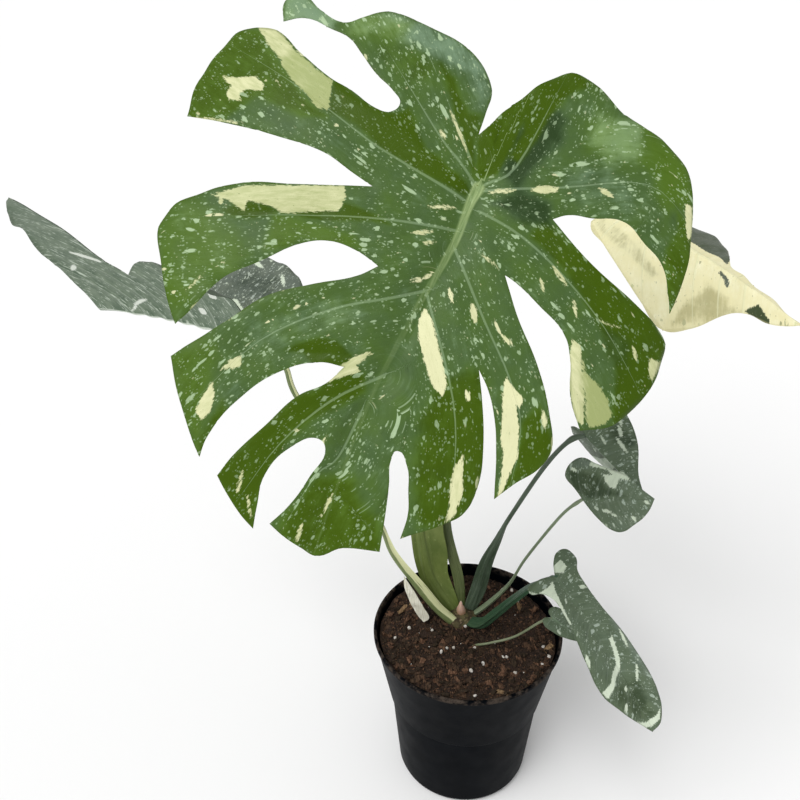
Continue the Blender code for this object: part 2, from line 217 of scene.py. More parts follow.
def specks(tree, grain, cells, chance, size, soft, seed):
    """Spots of uneven size along the grain.

    cells is how many there are in 10 mm along and across, chance the share of cells with a spot.
    """
    place = stretched(tree, grain, (cells[0], cells[1], 1), move=(seed, seed * 1.7, seed * 0.3))
    warp = node(tree, "TexNoise", {"Vector": place, "Scale": 1.3, "Detail": 3.0})
    moved = node(tree, "VectorMath", {0: warp.outputs[1], 1: (0.9, 0.9, 0.9)}, operation="MULTIPLY")
    place = node(tree, "VectorMath", {0: place, 1: moved.outputs[0]}, operation="ADD").outputs[0]
    cell = node(tree, "TexVoronoi", {"Vector": place, "Scale": 1.0, "Randomness": 1.0})
    split = node(tree, "SeparateColor", {0: cell.outputs["Color"]})
    there = between(tree, calc(tree, "SUBTRACT", split.outputs[0], chance), 0.02, 0.0)
    reach = calc(tree, "MULTIPLY_ADD", split.outputs[1], size * 0.8, size * 0.4)
    inside = between(tree, calc(tree, "SUBTRACT", reach, cell.outputs["Distance"]), 0.0, soft)
    return calc(tree, "MULTIPLY", there, inside), split.outputs[2]


def vein_line(tree, grain, width):
    """1 on a side vein and 0 away from it; the line thins towards the vein's end."""
    far = calc(tree, "PINGPONG", part_of(tree, grain, 1), GRAIN_ACROSS / 2)
    reach = calc(tree, "MULTIPLY_ADD", attribute(tree, "share"), -width, width * 1.05)
    return between(tree, calc(tree, "DIVIDE", far, reach), 1.0, 0.35)


def rib_line(tree, wide):
    """1 on the midrib and 0 away from it."""
    across = calc(tree, "ABSOLUTE", part_of(tree, uv_place(tree, "Rib"), 1))
    far = calc(tree, "DIVIDE", across, attribute(tree, "rib"))
    return between(tree, far, wide, wide * 0.55)


def marked(tree, grain, colour, mark, wash, bias):
    """The larger marks over a colour, with ragged ends along the grain and islands left out."""
    ragged = noise(tree, stretched(tree, grain, (1.6, 4.5, 1)), 2.0, 5.0, 0.6)
    ragged = calc(tree, "MULTIPLY_ADD", ragged, 4.6, -2.3)
    far = calc(tree, "ADD", attribute(tree, "mark"), ragged)
    inside = between(tree, far, bias + 0.5, bias - 0.5)
    island = noise(tree, stretched(tree, grain, (1.0, 4.5, 1)), 2.6, 4.0, 0.65)
    island = calc(tree, "SUBTRACT", 1.0, between(tree, island, 0.64, 0.72))
    inside = calc(tree, "MULTIPLY", inside, island)
    cloud = noise(tree, stretched(tree, grain, (0.6, 2.6, 1)), 1.6, 4.0, 0.6)
    washed = calc(tree, "SUBTRACT", attribute(tree, "wash"), 0.42)
    washed = between(tree, calc(tree, "MULTIPLY_ADD", cloud, 0.9, washed), 0.0, 1.0)
    return mix(tree, inside, colour, mix(tree, washed, mark, wash))


def leaf_skin(name, tones, speck, mark, wash, rib, veins, speckle, seed):
    """Upper side of a leaf.

    tones are three pairs of a cool and a warm colour, from deep, painted shade, to pale, painted sheen;
    rib is the midrib's pair.
    speckle is how crowded the specks are and veins how clearly the side veins show.
    """
    made, tree, shader = new_finish(name, 0.4, Specular_IOR_Level=0.10)
    grain = uv_place(tree, "Grain")
    flat = uv_place(tree, "Flat")
    cloud = noise(tree, flat, 0.75, 4.0, 0.6)
    streak = noise(tree, stretched(tree, grain, (0.6, 3.2, 1)), 1.1, 5.0, 0.65)
    # The tone is random clouds and streaks plus the painted sheen and shade of the leaf's zones.
    tone = calc(tree, "MULTIPLY_ADD", cloud, 1.5, calc(tree, "MULTIPLY_ADD", streak, 1.3, -1.4))
    tone = calc(tree, "ADD", tone, attribute(tree, "shade"))
    warm = calc(tree, "MULTIPLY_ADD", noise(tree, flat, 0.5, 3.0), 1.4, -0.7)
    warm = between(tree, calc(tree, "ADD", warm, attribute(tree, "warmth")), -0.9, 0.9)
    deep, middle, pale = (mix(tree, warm, *pair) for pair in tones)
    colour = mix(tree, between(tree, tone, -0.9, 0.1), deep, middle)
    colour = mix(tree, between(tree, tone, 0.1, 1.2), colour, pale)

    # Specks are dimmer where the tone paints shade.
    light = between(tree, tone, -1.3, 0.3)
    light = calc(tree, "MULTIPLY_ADD", light, 0.5, 0.5)
    crowd = between(tree, noise(tree, flat, 0.9, 3.0), 0.30, 0.66)
    for cells, chance, size, soft, strength, number in (
        ((5.0, 9.0), 0.40, 0.44, 0.20, 0.45, 1), ((2.4, 4.6), 0.30, 0.42, 0.16, 0.62, 2),
        ((1.3, 2.7), 0.20, 0.38, 0.12, 0.80, 3), ((0.6, 2.2), 0.13, 0.32, 0.10, 0.85, 4),
    ):
        chance = calc(tree, "MULTIPLY", crowd, chance * speckle * 1.5)
        spot, blend = specks(tree, grain, cells, chance, size, soft, seed + number * 3.1)
        spot = calc(tree, "MULTIPLY", calc(tree, "MULTIPLY", spot, strength), light)
        colour = mix(tree, spot, colour, mix(tree, between(tree, blend, 0.5, 1.0), speck, mark))

    line = vein_line(tree, grain, 0.13)
    colour = mix(tree, calc(tree, "MULTIPLY", line, veins), colour, mix(tree, 0.55, pale, speck))
    colour = marked(tree, grain, colour, mark, wash, 0.0)
    fade = calc(tree, "MULTIPLY", rib_line(tree, 1.05), attribute(tree, "rib_fade"))
    fibre = noise(tree, stretched(tree, flat, (7, 0.5, 1)), 1.0, 3.0)
    colour = mix(tree, fade, colour, mix(tree, between(tree, fibre, 0.2, 0.8), *rib))
    edge = between(tree, attribute(tree, "margin"), 1.3, 0.1)
    colour = mix(tree, calc(tree, "MULTIPLY", edge, 0.35), colour, tones[0][1])

    values = {"Vector": stretched(tree, grain, (2.2, 3.4, 1)), "Scale": 1.0}
    net = node(tree, "TexVoronoi", values, feature="DISTANCE_TO_EDGE").outputs[0]
    sunk = calc(tree, "MULTIPLY", line, -0.7)
    height = calc(tree, "MULTIPLY_ADD", between(tree, net, 0.0, 0.12), 0.12, sunk)
    height = calc(tree, "ADD", height, calc(tree, "MULTIPLY", noise(tree, grain, 9.0), 0.12))
    gloss = calc(tree, "MULTIPLY_ADD", noise(tree, flat, 1.5, 4.0), 0.22, 0.28)
    connect(tree, shader, colour, gloss, height, 0.5, 0.0006)
    return made


def leaf_underside(name, tones, speck, mark, veins, speckle, seed):
    """Lower side: duller and paler, with raised pale ribs and the same marks showing through."""
    made, tree, shader = new_finish(name, 0.6, Specular_IOR_Level=0.2)
    grain = uv_place(tree, "Grain")
    flat = uv_place(tree, "Flat")
    streak = noise(tree, stretched(tree, grain, (0.5, 3.4, 1)), 1.2, 5.0, 0.7)
    tone = calc(tree, "ADD", noise(tree, flat, 0.7, 4.0), calc(tree, "MULTIPLY", streak, 0.8))
    colour = mix(tree, between(tree, tone, 0.6, 1.2), *tones)
    for cells, chance, size, strength, number in (
        ((2.4, 6.0), 0.34, 0.44, 0.5, 1), ((0.9, 3.4), 0.26, 0.40, 0.6, 2),
        ((0.5, 2.4), 0.12, 0.34, 0.8, 3),
    ):
        spot, _ = specks(tree, grain, cells, chance * speckle, size, 0.2, seed + number * 2.3)
        colour = mix(tree, calc(tree, "MULTIPLY", spot, strength), colour, speck)
    colour = marked(tree, grain, colour, mark, speck, 0.2)
    line = vein_line(tree, grain, 0.16)
    colour = mix(tree, calc(tree, "MULTIPLY", line, veins), colour, speck)
    rib = rib_line(tree, 1.1)
    colour = mix(tree, calc(tree, "MULTIPLY", rib, 0.9), colour, mix(tree, 0.45, speck, mark))
    height = calc(tree, "MULTIPLY_ADD", line, 0.8, noise(tree, grain, 7.0))
    connect(tree, shader, colour, None, height, 0.4, 0.0006)
    return made


# ---------------------------------------------------------------- leaf blades


def nearest(points, line):
    """For each point: distance from the line of points, length along it and signed offset."""
    best = np.full(len(points), VERY_FAR)
    along = np.zeros(len(points))
    offset = np.zeros(len(points))
    done = 0.0
    for start, end in zip(line, line[1:]):
        start = np.array(start[:2], float)
        step = np.array(end[:2], float) - start
        length = math.hypot(*step)
        share = np.clip((points - start) @ step / length ** 2, 0, 1)
        gap = points - start - share[:, None] * step
        far = np.hypot(gap[:, 0], gap[:, 1])
        closer = far < best
        best[closer] = far[closer]
        along[closer] = done + share[closer] * length
        turn = np.sign(step[0] * gap[:, 1] - step[1] * gap[:, 0])
        offset[closer] = (far * turn)[closer]
        done += length
    return best, along, offset


def depth_in(points, outline):
    """Distance from a closed outline, negative inside it."""
    closed = [place[:2] for place in outline] + [outline[0][:2]]
    far = nearest(points, closed)[0]
    inside = np.zeros(len(points), bool)
    for (x1, y1), (x2, y2) in zip(closed, closed[1:]):
        if y1 == y2:
            continue
        spans = (points[:, 1] < y1) != (points[:, 1] < y2)
        inside ^= spans & (points[:, 0] < (x2 - x1) * (points[:, 1] - y1) / (y2 - y1) + x1)
    return np.where(inside, -far, far)


# In flat_sheet: steps between two points of an outline, millimetres within which two points are
# one, and the share of a cell below which an edge is closed up.
OUTLINE_STEPS = 7
SAME_POINT = 0.01
SHORT_EDGE = 0.16


def flat_sheet(name, outline, cell):
    """The outline filled as one face and cut into cells, in millimetres."""
    curve = bpy.data.curves.new(name, "CURVE")
    curve.dimensions = "2D"
    curve.fill_mode = "BOTH"
    curve.resolution_u = OUTLINE_STEPS
    spline = curve.splines.new("BEZIER")
    spline.use_cyclic_u = True
    spline.bezier_points.add(len(outline) - 1)
    for point, place in zip(spline.bezier_points, outline):
        kind = "VECTOR" if len(place) == 3 else "AUTO"
        point.co = (place[0], place[1], 0)
        point.handle_left_type = kind
        point.handle_right_type = kind
    item = new_object(name, curve)
    graph = bpy.context.evaluated_depsgraph_get()
    mesh = bpy.data.meshes.new_from_object(item.evaluated_get(graph))
    bpy.data.objects.remove(item)
    work = bmesh.new()
    work.from_mesh(mesh)
    bmesh.ops.remove_doubles(work, verts=work.verts, dist=SAME_POINT)
    bmesh.ops.dissolve_faces(work, faces=work.faces, use_verts=False)
    for axis in (0, 1):
        reach = [vertex.co[axis] for vertex in work.verts]
        for number in range(math.ceil(min(reach) / cell), math.floor(max(reach) / cell) + 1):
            place = [0, 0, 0]
            place[axis] = number * cell
            normal = [0, 0, 0]
            normal[axis] = 1
            everything = work.verts[:] + work.edges[:] + work.faces[:]
            bmesh.ops.bisect_plane(work, geom=everything, dist=1e-3, plane_co=place, plane_no=normal)
    bmesh.ops.remove_doubles(work, verts=work.verts, dist=cell * SHORT_EDGE)
    if sum(face.normal.z for face in work.faces) < 0:
        bmesh.ops.reverse_faces(work, faces=work.faces)
    big = [face for face in work.faces if len(face.verts) > 4]
    bmesh.ops.triangulate(work, faces=big)
    work.to_mesh(mesh)
    work.free()
    return mesh


def flat_points(mesh):
    """The x and y of a flat sheet's points, and the point at each corner of its faces."""
    flat = np.zeros(len(mesh.vertices) * 3)
    mesh.vertices.foreach_get("co", flat)
    corners = np.zeros(len(mesh.loops), int)
    mesh.loops.foreach_get("vertex_index", corners)
    return flat.reshape(-1, 3)[:, :2].copy(), corners


def write_map(mesh, name, places):
    """A UV map from a place in millimetres for each corner of the faces."""
    mesh.uv_layers.new(name=name).data.foreach_set("uv", (places / MAP_UNIT).ravel())


def write_values(mesh, name, values):
    made = mesh.attributes.new(name, "FLOAT", "POINT")
    made.data.foreach_set("value", np.asarray(values, np.float32))


def sheet_object(name, mesh, points, *finishes):
    """The sheet with its points where they belong, as an object with these finishes."""
    mesh.vertices.foreach_set("co", points.ravel())
    mesh.update()
    mesh.materials.clear()
    for finish in finishes:
        mesh.materials.append(finish)
    return new_object(name, mesh)


def smoothed(line, pieces=6):
    """The points of the smooth line through the given ones."""
    points = [np.array(place, float) for place in line]
    ends = [2 * points[0] - points[1]] + points + [2 * points[-1] - points[-2]]
    route = []
    for a, b, c, d in zip(ends, ends[1:], ends[2:], ends[3:]):
        for step in range(pieces):
            t = step / pieces
            route.append(0.5 * ((2 * b) + (c - a) * t + (2 * a - 5 * b + 4 * c - d) * t * t
                                + (3 * b - a - 3 * c + d) * t ** 3))
    return route + [points[-1]]


def side_veins(length, half_width, pairs, sweep):
    """Pairs of side veins that leave the midrib and turn towards the tip; the first pair leans back."""
    veins = []
    for number in range(pairs):
        start = length * (0.02 + 0.80 * number / pairs)
        lean = math.radians(sweep + 28 * number / pairs)
        if number == 0:
            lean = math.radians(-35)
        for side in (-1, 1):
            line = []
            for step in range(5):
                reach = half_width * step / 4
                rise = start + reach * math.tan(lean) * 0.6 + reach * reach / half_width * 0.35
                line.append((side * reach, rise))
            veins.append(line)
    return veins


def ripple(flat, seed, size):
    """A slow uneven wave over the blade, the sum of a few sines."""
    chance = random.Random(seed)
    total = np.zeros(len(flat))
    for _ in range(6):
        angle = chance.uniform(0, math.tau)
        length = size * chance.uniform(0.6, 1.6)
        phase = chance.uniform(0, math.tau)
        along = flat[:, 0] * math.cos(angle) + flat[:, 1] * math.sin(angle)
        total += np.sin(along / length * math.tau + phase) / 6
    return total


def bent(flat, rise, shape):
    """Where flat points go once the blade is folded, curled and drooped; rise lifts them.

    shape is the fold at the midrib in degrees, the curl and the droop in degrees per 100 mm, and
    how strongly the sides hang beyond a distance from the midrib.
    """
    fold, curl, droop, hang, hang_from = shape
    fold = math.radians(fold)
    curl = math.radians(curl) / 100
    droop = math.radians(droop) / 100
    side = np.abs(flat[:, 0])
    slope = fold - curl * side
    across = (math.sin(fold) - np.sin(slope)) / curl
    lift = (np.cos(slope) - math.cos(fold)) / curl - hang * np.maximum(0, side - hang_from) ** 2
    across = across + rise * -np.sin(slope)
    radius = 1 / droop + lift + rise * np.cos(slope)
    turn = flat[:, 1] * droop
    return np.stack([
        np.copysign(across, flat[:, 0]),
        radius * np.sin(turn),
        radius * np.cos(turn) - 1 / droop,
    ], axis=1)


def placed(points, leaf):
    """Bent points in metres, turned and moved to where the leaf is."""
    heading, pitch, roll = (math.radians(angle) for angle in leaf["turn"])
    turn = Matrix.Rotation(heading - math.pi / 2, 3, "Z") @ Matrix.Rotation(pitch, 3, "X")
    turn = np.array(turn @ Matrix.Rotation(roll, 3, "Y"))
    start = np.array(CROWN) + np.array(leaf["place"], float) * MM
    return points @ turn.T * MM + start


def vein_distances(flat, veins):
    """For each point: how far the nearest side vein is, and the share of its length there."""
    best = np.full(len(flat), VERY_FAR)
    share = np.zeros(len(flat))
    for line in veins:
        far, along, _ = nearest(flat, line)
        closer = far < best
        best[closer] = far[closer]
        total = sum(math.dist(a, b) for a, b in zip(line, line[1:]))
        share[closer] = along[closer] / total
    return best, share


def leaf_marks(flat, leaf):
    """For each point: its distance from the leaf's marks, and how far the nearest is washed."""
    mark = np.full(len(flat), NO_MARK)
    weight = np.full(len(flat), 1e-4)
    wash = NO_MARK_WASH * weight
    for paleness, patch in leaf.get("patches", []):
        far = depth_in(flat, patch)
        near = np.exp(-np.clip(far, -4, 30) / 3)
        wash += paleness * near
        weight += near
        mark = np.minimum(mark, far)
    wash /= weight
    for x1, y1, x2, y2, width in leaf.get("streaks", []):
        far, along, _ = nearest(flat, [(x1, y1), (x2, y2)])
        taper = 1 - (2 * along / math.hypot(x2 - x1, y2 - y1) - 1) ** 2
        mark = np.minimum(mark, far - width / 2 * (0.35 + 0.65 * taper))
    return mark, wash


def sheen_and_shade_tones(flat, leaf):
    """For each point: its tone, as painted sheen and shade, and its warmth, from the leaf's own and its
    zones.
    """
    shade = np.full(len(flat), leaf.get("tone", 0.0))
    warmth = np.full(len(flat), leaf.get("warmth", 0.0))
    for tone, warm, soft, patch in leaf.get("sheen_shade_zones", []):
        share = np.clip(0.5 - depth_in(flat, patch) / soft, 0, 1)
        share = share * share * (3 - 2 * share)
        shade += (tone - shade) * share
        warmth += (warm - warmth) * share
    return shade, warmth


def grain_places(mesh, flat, corners, veins):
    """For each corner: its place along and across the side vein that its face belongs to.

    Each vein has its own stretch of the map, and is drawn out past its end to reach the margin.
    """
    centres = np.zeros(len(mesh.polygons) * 3)
    mesh.polygons.foreach_get("center", centres)
    centres = centres.reshape(-1, 3)[:, :2]
    owner_far = np.full(len(centres), VERY_FAR)
    owner = np.zeros(len(centres), int)
    lines = [line + [line[-1] + (line[-1] - line[-3]) * 40] for line in veins]
    for number, line in enumerate(lines):
        far = nearest(centres, line)[0]
        closer = far < owner_far
        owner_far[closer] = far[closer]
        owner[closer] = number
    sides = np.zeros(len(centres), int)
    mesh.polygons.foreach_get("loop_total", sides)
    corner_owner = np.repeat(owner, sides)
    grain = np.zeros((len(corners), 2))
    for number, line in enumerate(lines):
        mine = corner_owner == number
        _, along, offset = nearest(flat[corners[mine]], line)
        grain[mine, 0] = along + number * GRAIN_ALONG * MAP_UNIT
        grain[mine, 1] = offset + number * GRAIN_ACROSS * MAP_UNIT
    return grain


def make_blade(leaf, upper, lower):
    """A leaf's blade: a fine sheet with ribs and quilting, bent, placed and given its thickness."""
    name = leaf["name"] + "_blade"
    mesh = flat_sheet("fine_" + name, leaf["outline"], leaf.get("cell", 1.6))
    flat, corners = flat_points(mesh)
    length = max(place[1] for place in leaf["outline"])
    midrib = smoothed(leaf["midrib"])
    veins = [smoothed(line, 4) for line in leaf["veins"]]

    rib_far, rib_along, rib_offset = nearest(flat, midrib)
    rib_share = np.clip(rib_along / length, 0, 1)
    rib_half = leaf["rib"] / 2 * (1 - 0.85 * rib_share ** 0.7) + 1.2 * np.exp(-rib_along / 6)
    vein_far, vein_share = vein_distances(flat, veins)
    margin = -depth_in(flat, leaf["outline"])
    mark, wash = leaf_marks(flat, leaf)
    # The tone paints sheen and shade into the blade's colour.
    shade, warmth = sheen_and_shade_tones(flat, leaf)

    quilt, wave, spread = leaf["quilt"], leaf["wave"], leaf.get("spread", 7)
    rise = quilt * (1 - np.exp(-(vein_far / spread) ** 2)) * np.clip(1.15 - vein_share, 0, 1)
    rise += quilt * 1.2 * (1 - np.exp(-(rib_far / 9) ** 2))
    rise += 0.5 * np.exp(-(rib_far / np.maximum(rib_half, 0.3)) ** 2)
    rise += wave * ripple(flat, leaf["seed"], 90) * np.clip(np.abs(flat[:, 0]) / 60, 0, 1)
    rise += wave * 0.8 * ripple(flat, leaf["seed"] + 1, 34) * np.exp(-margin / 9)
    rise -= 0.7 * np.exp(-margin / 1.8)
    for x1, y1, x2, y2, reach, amount in leaf.get("creases", []):
        far = nearest(flat, [(x1, y1), (x2, y2)])[0]
        rise += amount * np.exp(-far / reach)
    points = placed(bent(flat, rise, leaf["shape"]), leaf)

    write_map(mesh, "Grain", grain_places(mesh, flat, corners, veins))
    write_map(mesh, "Rib", np.stack([rib_along, rib_offset], axis=1)[corners])
    write_map(mesh, "Flat", flat[corners])
    rib_fade = leaf.get("rib_fade", 1.15) - leaf.get("rib_drop", 1.3) * rib_share
    values = {
        "rib": rib_half / MAP_UNIT, "rib_fade": np.clip(rib_fade, 0.12, 1), "margin": margin,
        "mark": mark, "wash": wash, "share": vein_share, "shade": shade, "warmth": warmth,
    }
    for key, numbers in values.items():
        write_values(mesh, key, numbers)

    blade = sheet_object("fine_" + name, mesh, points, upper, lower)
    ribs = blade.vertex_groups.new(name="ribs")
    half = rib_half * 1.15
    bulk = np.exp(-(rib_far / half) ** 4) * (0.25 + 0.75 * rib_half / rib_half.max())
    side_bulk = 0.28 * np.exp(-(vein_far / 1.3) ** 2) * np.clip(1.1 - vein_share, 0, 1)
    least = BLADE_THICKNESS / RIB_DEPTH
    bulk = least + (1 - least) * np.clip(np.maximum(bulk, side_bulk), 0, 1)
    for number, weight in enumerate(bulk):
        ribs.add([number], float(weight), "REPLACE")
    skin = blade.modifiers.new("Thickness", "SOLIDIFY")
    skin.thickness = RIB_DEPTH
    skin.offset = -1
    skin.vertex_group = "ribs"
    skin.material_offset = 1
    skin.material_offset_rim = 0
    apply_modifiers(blade)
    blade.vertex_groups.clear()
    smooth(blade, 50)
    return finish_piece(blade, leaf["slot"], name)


# ---------------------------------------------------------------- stalks


STALK_SIDES = 40

# Where every stalk starts, inside the crown: distance from its axis and height, in millimetres.
STALK_FOOT_INSIDE = 8
STALK_FOOT_HEIGHT = 3

# The shares of a stalk's length over which it swells to its foot, and where its knee is.
SHEATH_SHARE = 0.35
KNEE_SHARE = 0.955


def swept(name, route, section, facing=None):
    """A closed skin round a route in millimetres; each ring's first point is on the facing side."""
    centres = [Vector(place) for place in route]
    ways = [(b - a).normalized() for a, b in zip(centres, centres[1:])]
    ways = [ways[0]] + [(a + b).normalized() for a, b in zip(ways, ways[1:])] + [ways[-1]]
    inner = Vector(facing or (-centres[1].x, -centres[1].y, 0.001))
    lengths = [0.0]
    for a, b in zip(centres, centres[1:]):
        lengths.append(lengths[-1] + (b - a).length)
    work = bmesh.new()
    grain = work.loops.layers.uv.new("Grain")
    rings = []
    for centre, way, done in zip(centres, ways, lengths):
        inner = (inner - way * inner.dot(way)).normalized()
        across = way.cross(inner)
        radii = section(done / lengths[-1], done)
        ring = []
        for number, radius in enumerate(radii):
            angle = math.tau * number / len(radii)
            place = centre + (inner * math.cos(angle) + across * math.sin(angle)) * radius
            ring.append(work.verts.new(CROWN + place * MM))
        rings.append(ring)
    sides = len(rings[0])
    for row, (low, high) in enumerate(zip(rings, rings[1:])):
        for number in range(sides):
            after = (number + 1) % sides
            face = work.faces.new((low[number], low[after], high[after], high[number]))
            spots = ((number, row), (number + 1, row), (number + 1, row + 1), (number, row + 1))
            for loop, (turn, step) in zip(face.loops, spots):
                loop[grain].uv = (turn / sides, lengths[step] / MAP_UNIT)
    work.faces.new(list(reversed(rings[0])))
    work.faces.new(rings[-1])
    mesh = bpy.data.meshes.new(name)
    bmesh.ops.recalc_face_normals(work, faces=work.faces)
    work.to_mesh(mesh)
    work.free()
    return new_object(name, mesh)


def make_stalk(leaf, skin, slot):
    """A leaf's stalk: a winged sheath at the foot, a grooved inner side and a knee at the blade."""
    bearing = math.radians(leaf["bearing"])
    foot = (STALK_FOOT_INSIDE * math.cos(bearing), STALK_FOOT_INSIDE * math.sin(bearing),
            STALK_FOOT_HEIGHT)
    route = smoothed([foot] + leaf["stalk"] + [leaf["place"]], 10)
    wings, wing_turn = leaf["wings"], math.radians(leaf.get("wing_turn", 60))
    sheath = leaf.get("sheath", SHEATH_SHARE)
    chance = random.Random(leaf["seed"])
    uneven = [chance.uniform(-1, 1) for _ in range(8)]

    def section(share, done):
        swell = max(0.0, 1 - share / SHEATH_SHARE)
        half = (leaf["top"] + (leaf["foot"] - leaf["top"]) * swell ** 1.3) / 2
        half *= 1 + 0.28 * math.exp(-((share - KNEE_SHARE) / 0.022) ** 2)
        half *= 1 + 0.02 * math.sin(done / 7 + uneven[0] * 3)
        part = min(1.0, share / sheath)
        flare = math.sin(math.pi * part ** 0.8) ** 0.9 if 0 < part < 1 else 0.0
        flare *= 1 + 0.05 * math.sin(done / 9 + uneven[1] * 3)
        radii = []
        for number in range(STALK_SIDES):
            angle = math.tau * number / STALK_SIDES
            wing = wings[angle > math.pi]
            angle = min(angle, math.tau - angle)
            groove = 0.20 * math.exp(-(angle / 0.42) ** 2) * (0.4 + 0.6 * swell)
            ridge = wing * flare * math.exp(-((angle - wing_turn) / 0.17) ** 2)
            radii.append(half * (1 - groove) + ridge)
        return radii

    stalk = swept("fine_" + leaf["name"] + "_petiole", route, section, leaf.get("facing"))
    stalk.data.materials.append(skin)
    smooth(stalk, 60)
    return finish_piece(stalk, slot, leaf["name"] + "_petiole")


def stalk_skin(name, deep, light, seed, stripe=None):
    """Stalk skin: fine lengthwise streaks and pale flecks, and on one stalk a cream stripe.

    stripe is where it starts and ends, as shares of the way round from the facing side, and its colour.
    """
    made, tree, shader = new_finish(name, 0.42, Specular_IOR_Level=0.4)
    grain = uv_place(tree, "Grain")
    place = stretched(tree, object_place(tree), (1, 1, 1), move=(seed, seed, seed))
    streak = noise(tree, stretched(tree, grain, (42, 0.35, 1), move=(seed, 0, 0)), 1.0, 4.0, 0.6)
    blot = noise(tree, place, 40.0, 3.0)
    tone = calc(tree, "MULTIPLY_ADD", streak, 0.8, calc(tree, "MULTIPLY", blot, 0.45))
    colour = mix(tree, between(tree, tone, 0.42, 0.85), deep, light)
    fleck = noise(tree, stretched(tree, grain, (90, 1.6, 1), move=(0, seed, 0)), 1.0, 3.0, 0.7)
    pale = tuple(min(1.0, 1.6 * part + 0.06) for part in light)
    colour = mix(tree, calc(tree, "MULTIPLY", between(tree, fleck, 0.60, 0.72), 0.7), colour, pale)
    if stripe:
        low, high, cream = stripe
        ragged = noise(tree, stretched(tree, grain, (14, 0.5, 1)), 1.0)
        ragged = calc(tree, "MULTIPLY_ADD", ragged, 0.10, -0.05)
        turn = calc(tree, "ADD", part_of(tree, grain, 0), ragged)
        start = between(tree, turn, low - 0.01, low + 0.01)
        band = calc(tree, "MULTIPLY", start, between(tree, turn, high + 0.01, high - 0.01))
        strand = between(tree, noise(tree, stretched(tree, grain, (60, 0.25, 1)), 1.0), 0.70, 0.60)
        colour = mix(tree, calc(tree, "MULTIPLY", band, strand), colour, cream)
    rib = noise(tree, stretched(tree, grain, (60, 0.15, 1)), 1.0, 2.0)
    connect(tree, shader, colour, None, rib, 0.35, 0.0006)
    return made


# ---------------------------------------------------------------- pot


POT_SIDES = 160
COLLAR_HEIGHT = 0.0745
COLLAR_FOOT_RADIUS = 0.0695
COLLAR_STEP = 0.002
BODY_TOP_RADIUS = 0.0678
BASE_RADIUS = 0.060
BASE_BEND = 0.0075
INNER_BEND = 0.011
POT_WALL = 0.0016
LIP_HEIGHT = 0.005
LIP_OVERHANG = 0.0015
FOOT_RING_WIDTH = 0.010
FOOT_HEIGHT = 0.003
BASE_PAD_RADIUS = 0.016
BASE_FLOOR = 0.0022
DRAIN_HOLE_RADIUS = 0.0055
DRAIN_HOLE_COUNT = 6
RIM_RADIUS = pot_high.x
POT_HEIGHT = pot_high.z

# The hole left on the axis of a turned shape, which is then filled.
AXIS_GAP = 0.0005


def lathe(name, profile, sides):
    """A turned shape: a ring extruded and resized from point to point of a (radius, height) profile."""
    radius, height = profile[0]
    deselect()
    bpy.ops.mesh.primitive_circle_add(vertices=sides, radius=radius, location=(0, 0, height))
    item = bpy.context.active_object
    item.name = name
    bpy.ops.object.transform_apply(location=True, rotation=True, scale=True)
    bpy.ops.object.mode_set(mode="EDIT")
    for (old, low), (new, high) in zip(profile, profile[1:]):
        bpy.ops.mesh.extrude_region_move(TRANSFORM_OT_translate={"value": (0, 0, high - low)})
        bpy.ops.transform.resize(value=(new / old, new / old, 1), center_override=(0, 0, high))
    bpy.ops.mesh.select_all(action="SELECT")
    bpy.ops.mesh.fill_holes(sides=0)
    bpy.ops.mesh.select_all(action="SELECT")
    bpy.ops.mesh.normals_make_consistent(inside=False)
    bpy.ops.object.mode_set(mode="OBJECT")
    return item


def pot_profile():
    """From the middle of the base, up the outside, over the lip and down the inside."""
    step = POT_HEIGHT - COLLAR_HEIGHT
    lip = POT_HEIGHT - LIP_HEIGHT
    collar_top = RIM_RADIUS - LIP_OVERHANG
    floor_top = FOOT_HEIGHT + BASE_FLOOR
    ring = BASE_RADIUS - FOOT_RING_WIDTH
    return [
        (AXIS_GAP, 0), (BASE_PAD_RADIUS, 0), (BASE_PAD_RADIUS + 0.001, FOOT_HEIGHT),
        (ring - 0.001, FOOT_HEIGHT), (ring, 0), (BASE_RADIUS - 0.0052, 0),
        (BASE_RADIUS - 0.0025, BASE_BEND * 0.16), (BASE_RADIUS - 0.0007, BASE_BEND * 0.5),
        (BASE_RADIUS + 0.0006, BASE_BEND),
        (BODY_TOP_RADIUS, step - COLLAR_STEP), (COLLAR_FOOT_RADIUS, step),
        (collar_top, lip), (RIM_RADIUS, lip + 0.0008), (RIM_RADIUS, POT_HEIGHT - 0.0008),
        (RIM_RADIUS - 0.0005, POT_HEIGHT), (collar_top - POT_WALL + 0.0006, POT_HEIGHT),
        (collar_top - POT_WALL, lip), (COLLAR_FOOT_RADIUS - POT_WALL, step + POT_WALL),
        (BODY_TOP_RADIUS - POT_WALL, step - COLLAR_STEP + POT_WALL),
        (BASE_RADIUS + 0.0009 - POT_WALL, INNER_BEND), (BASE_RADIUS - 0.007, floor_top),
        (AXIS_GAP, floor_top),
    ]


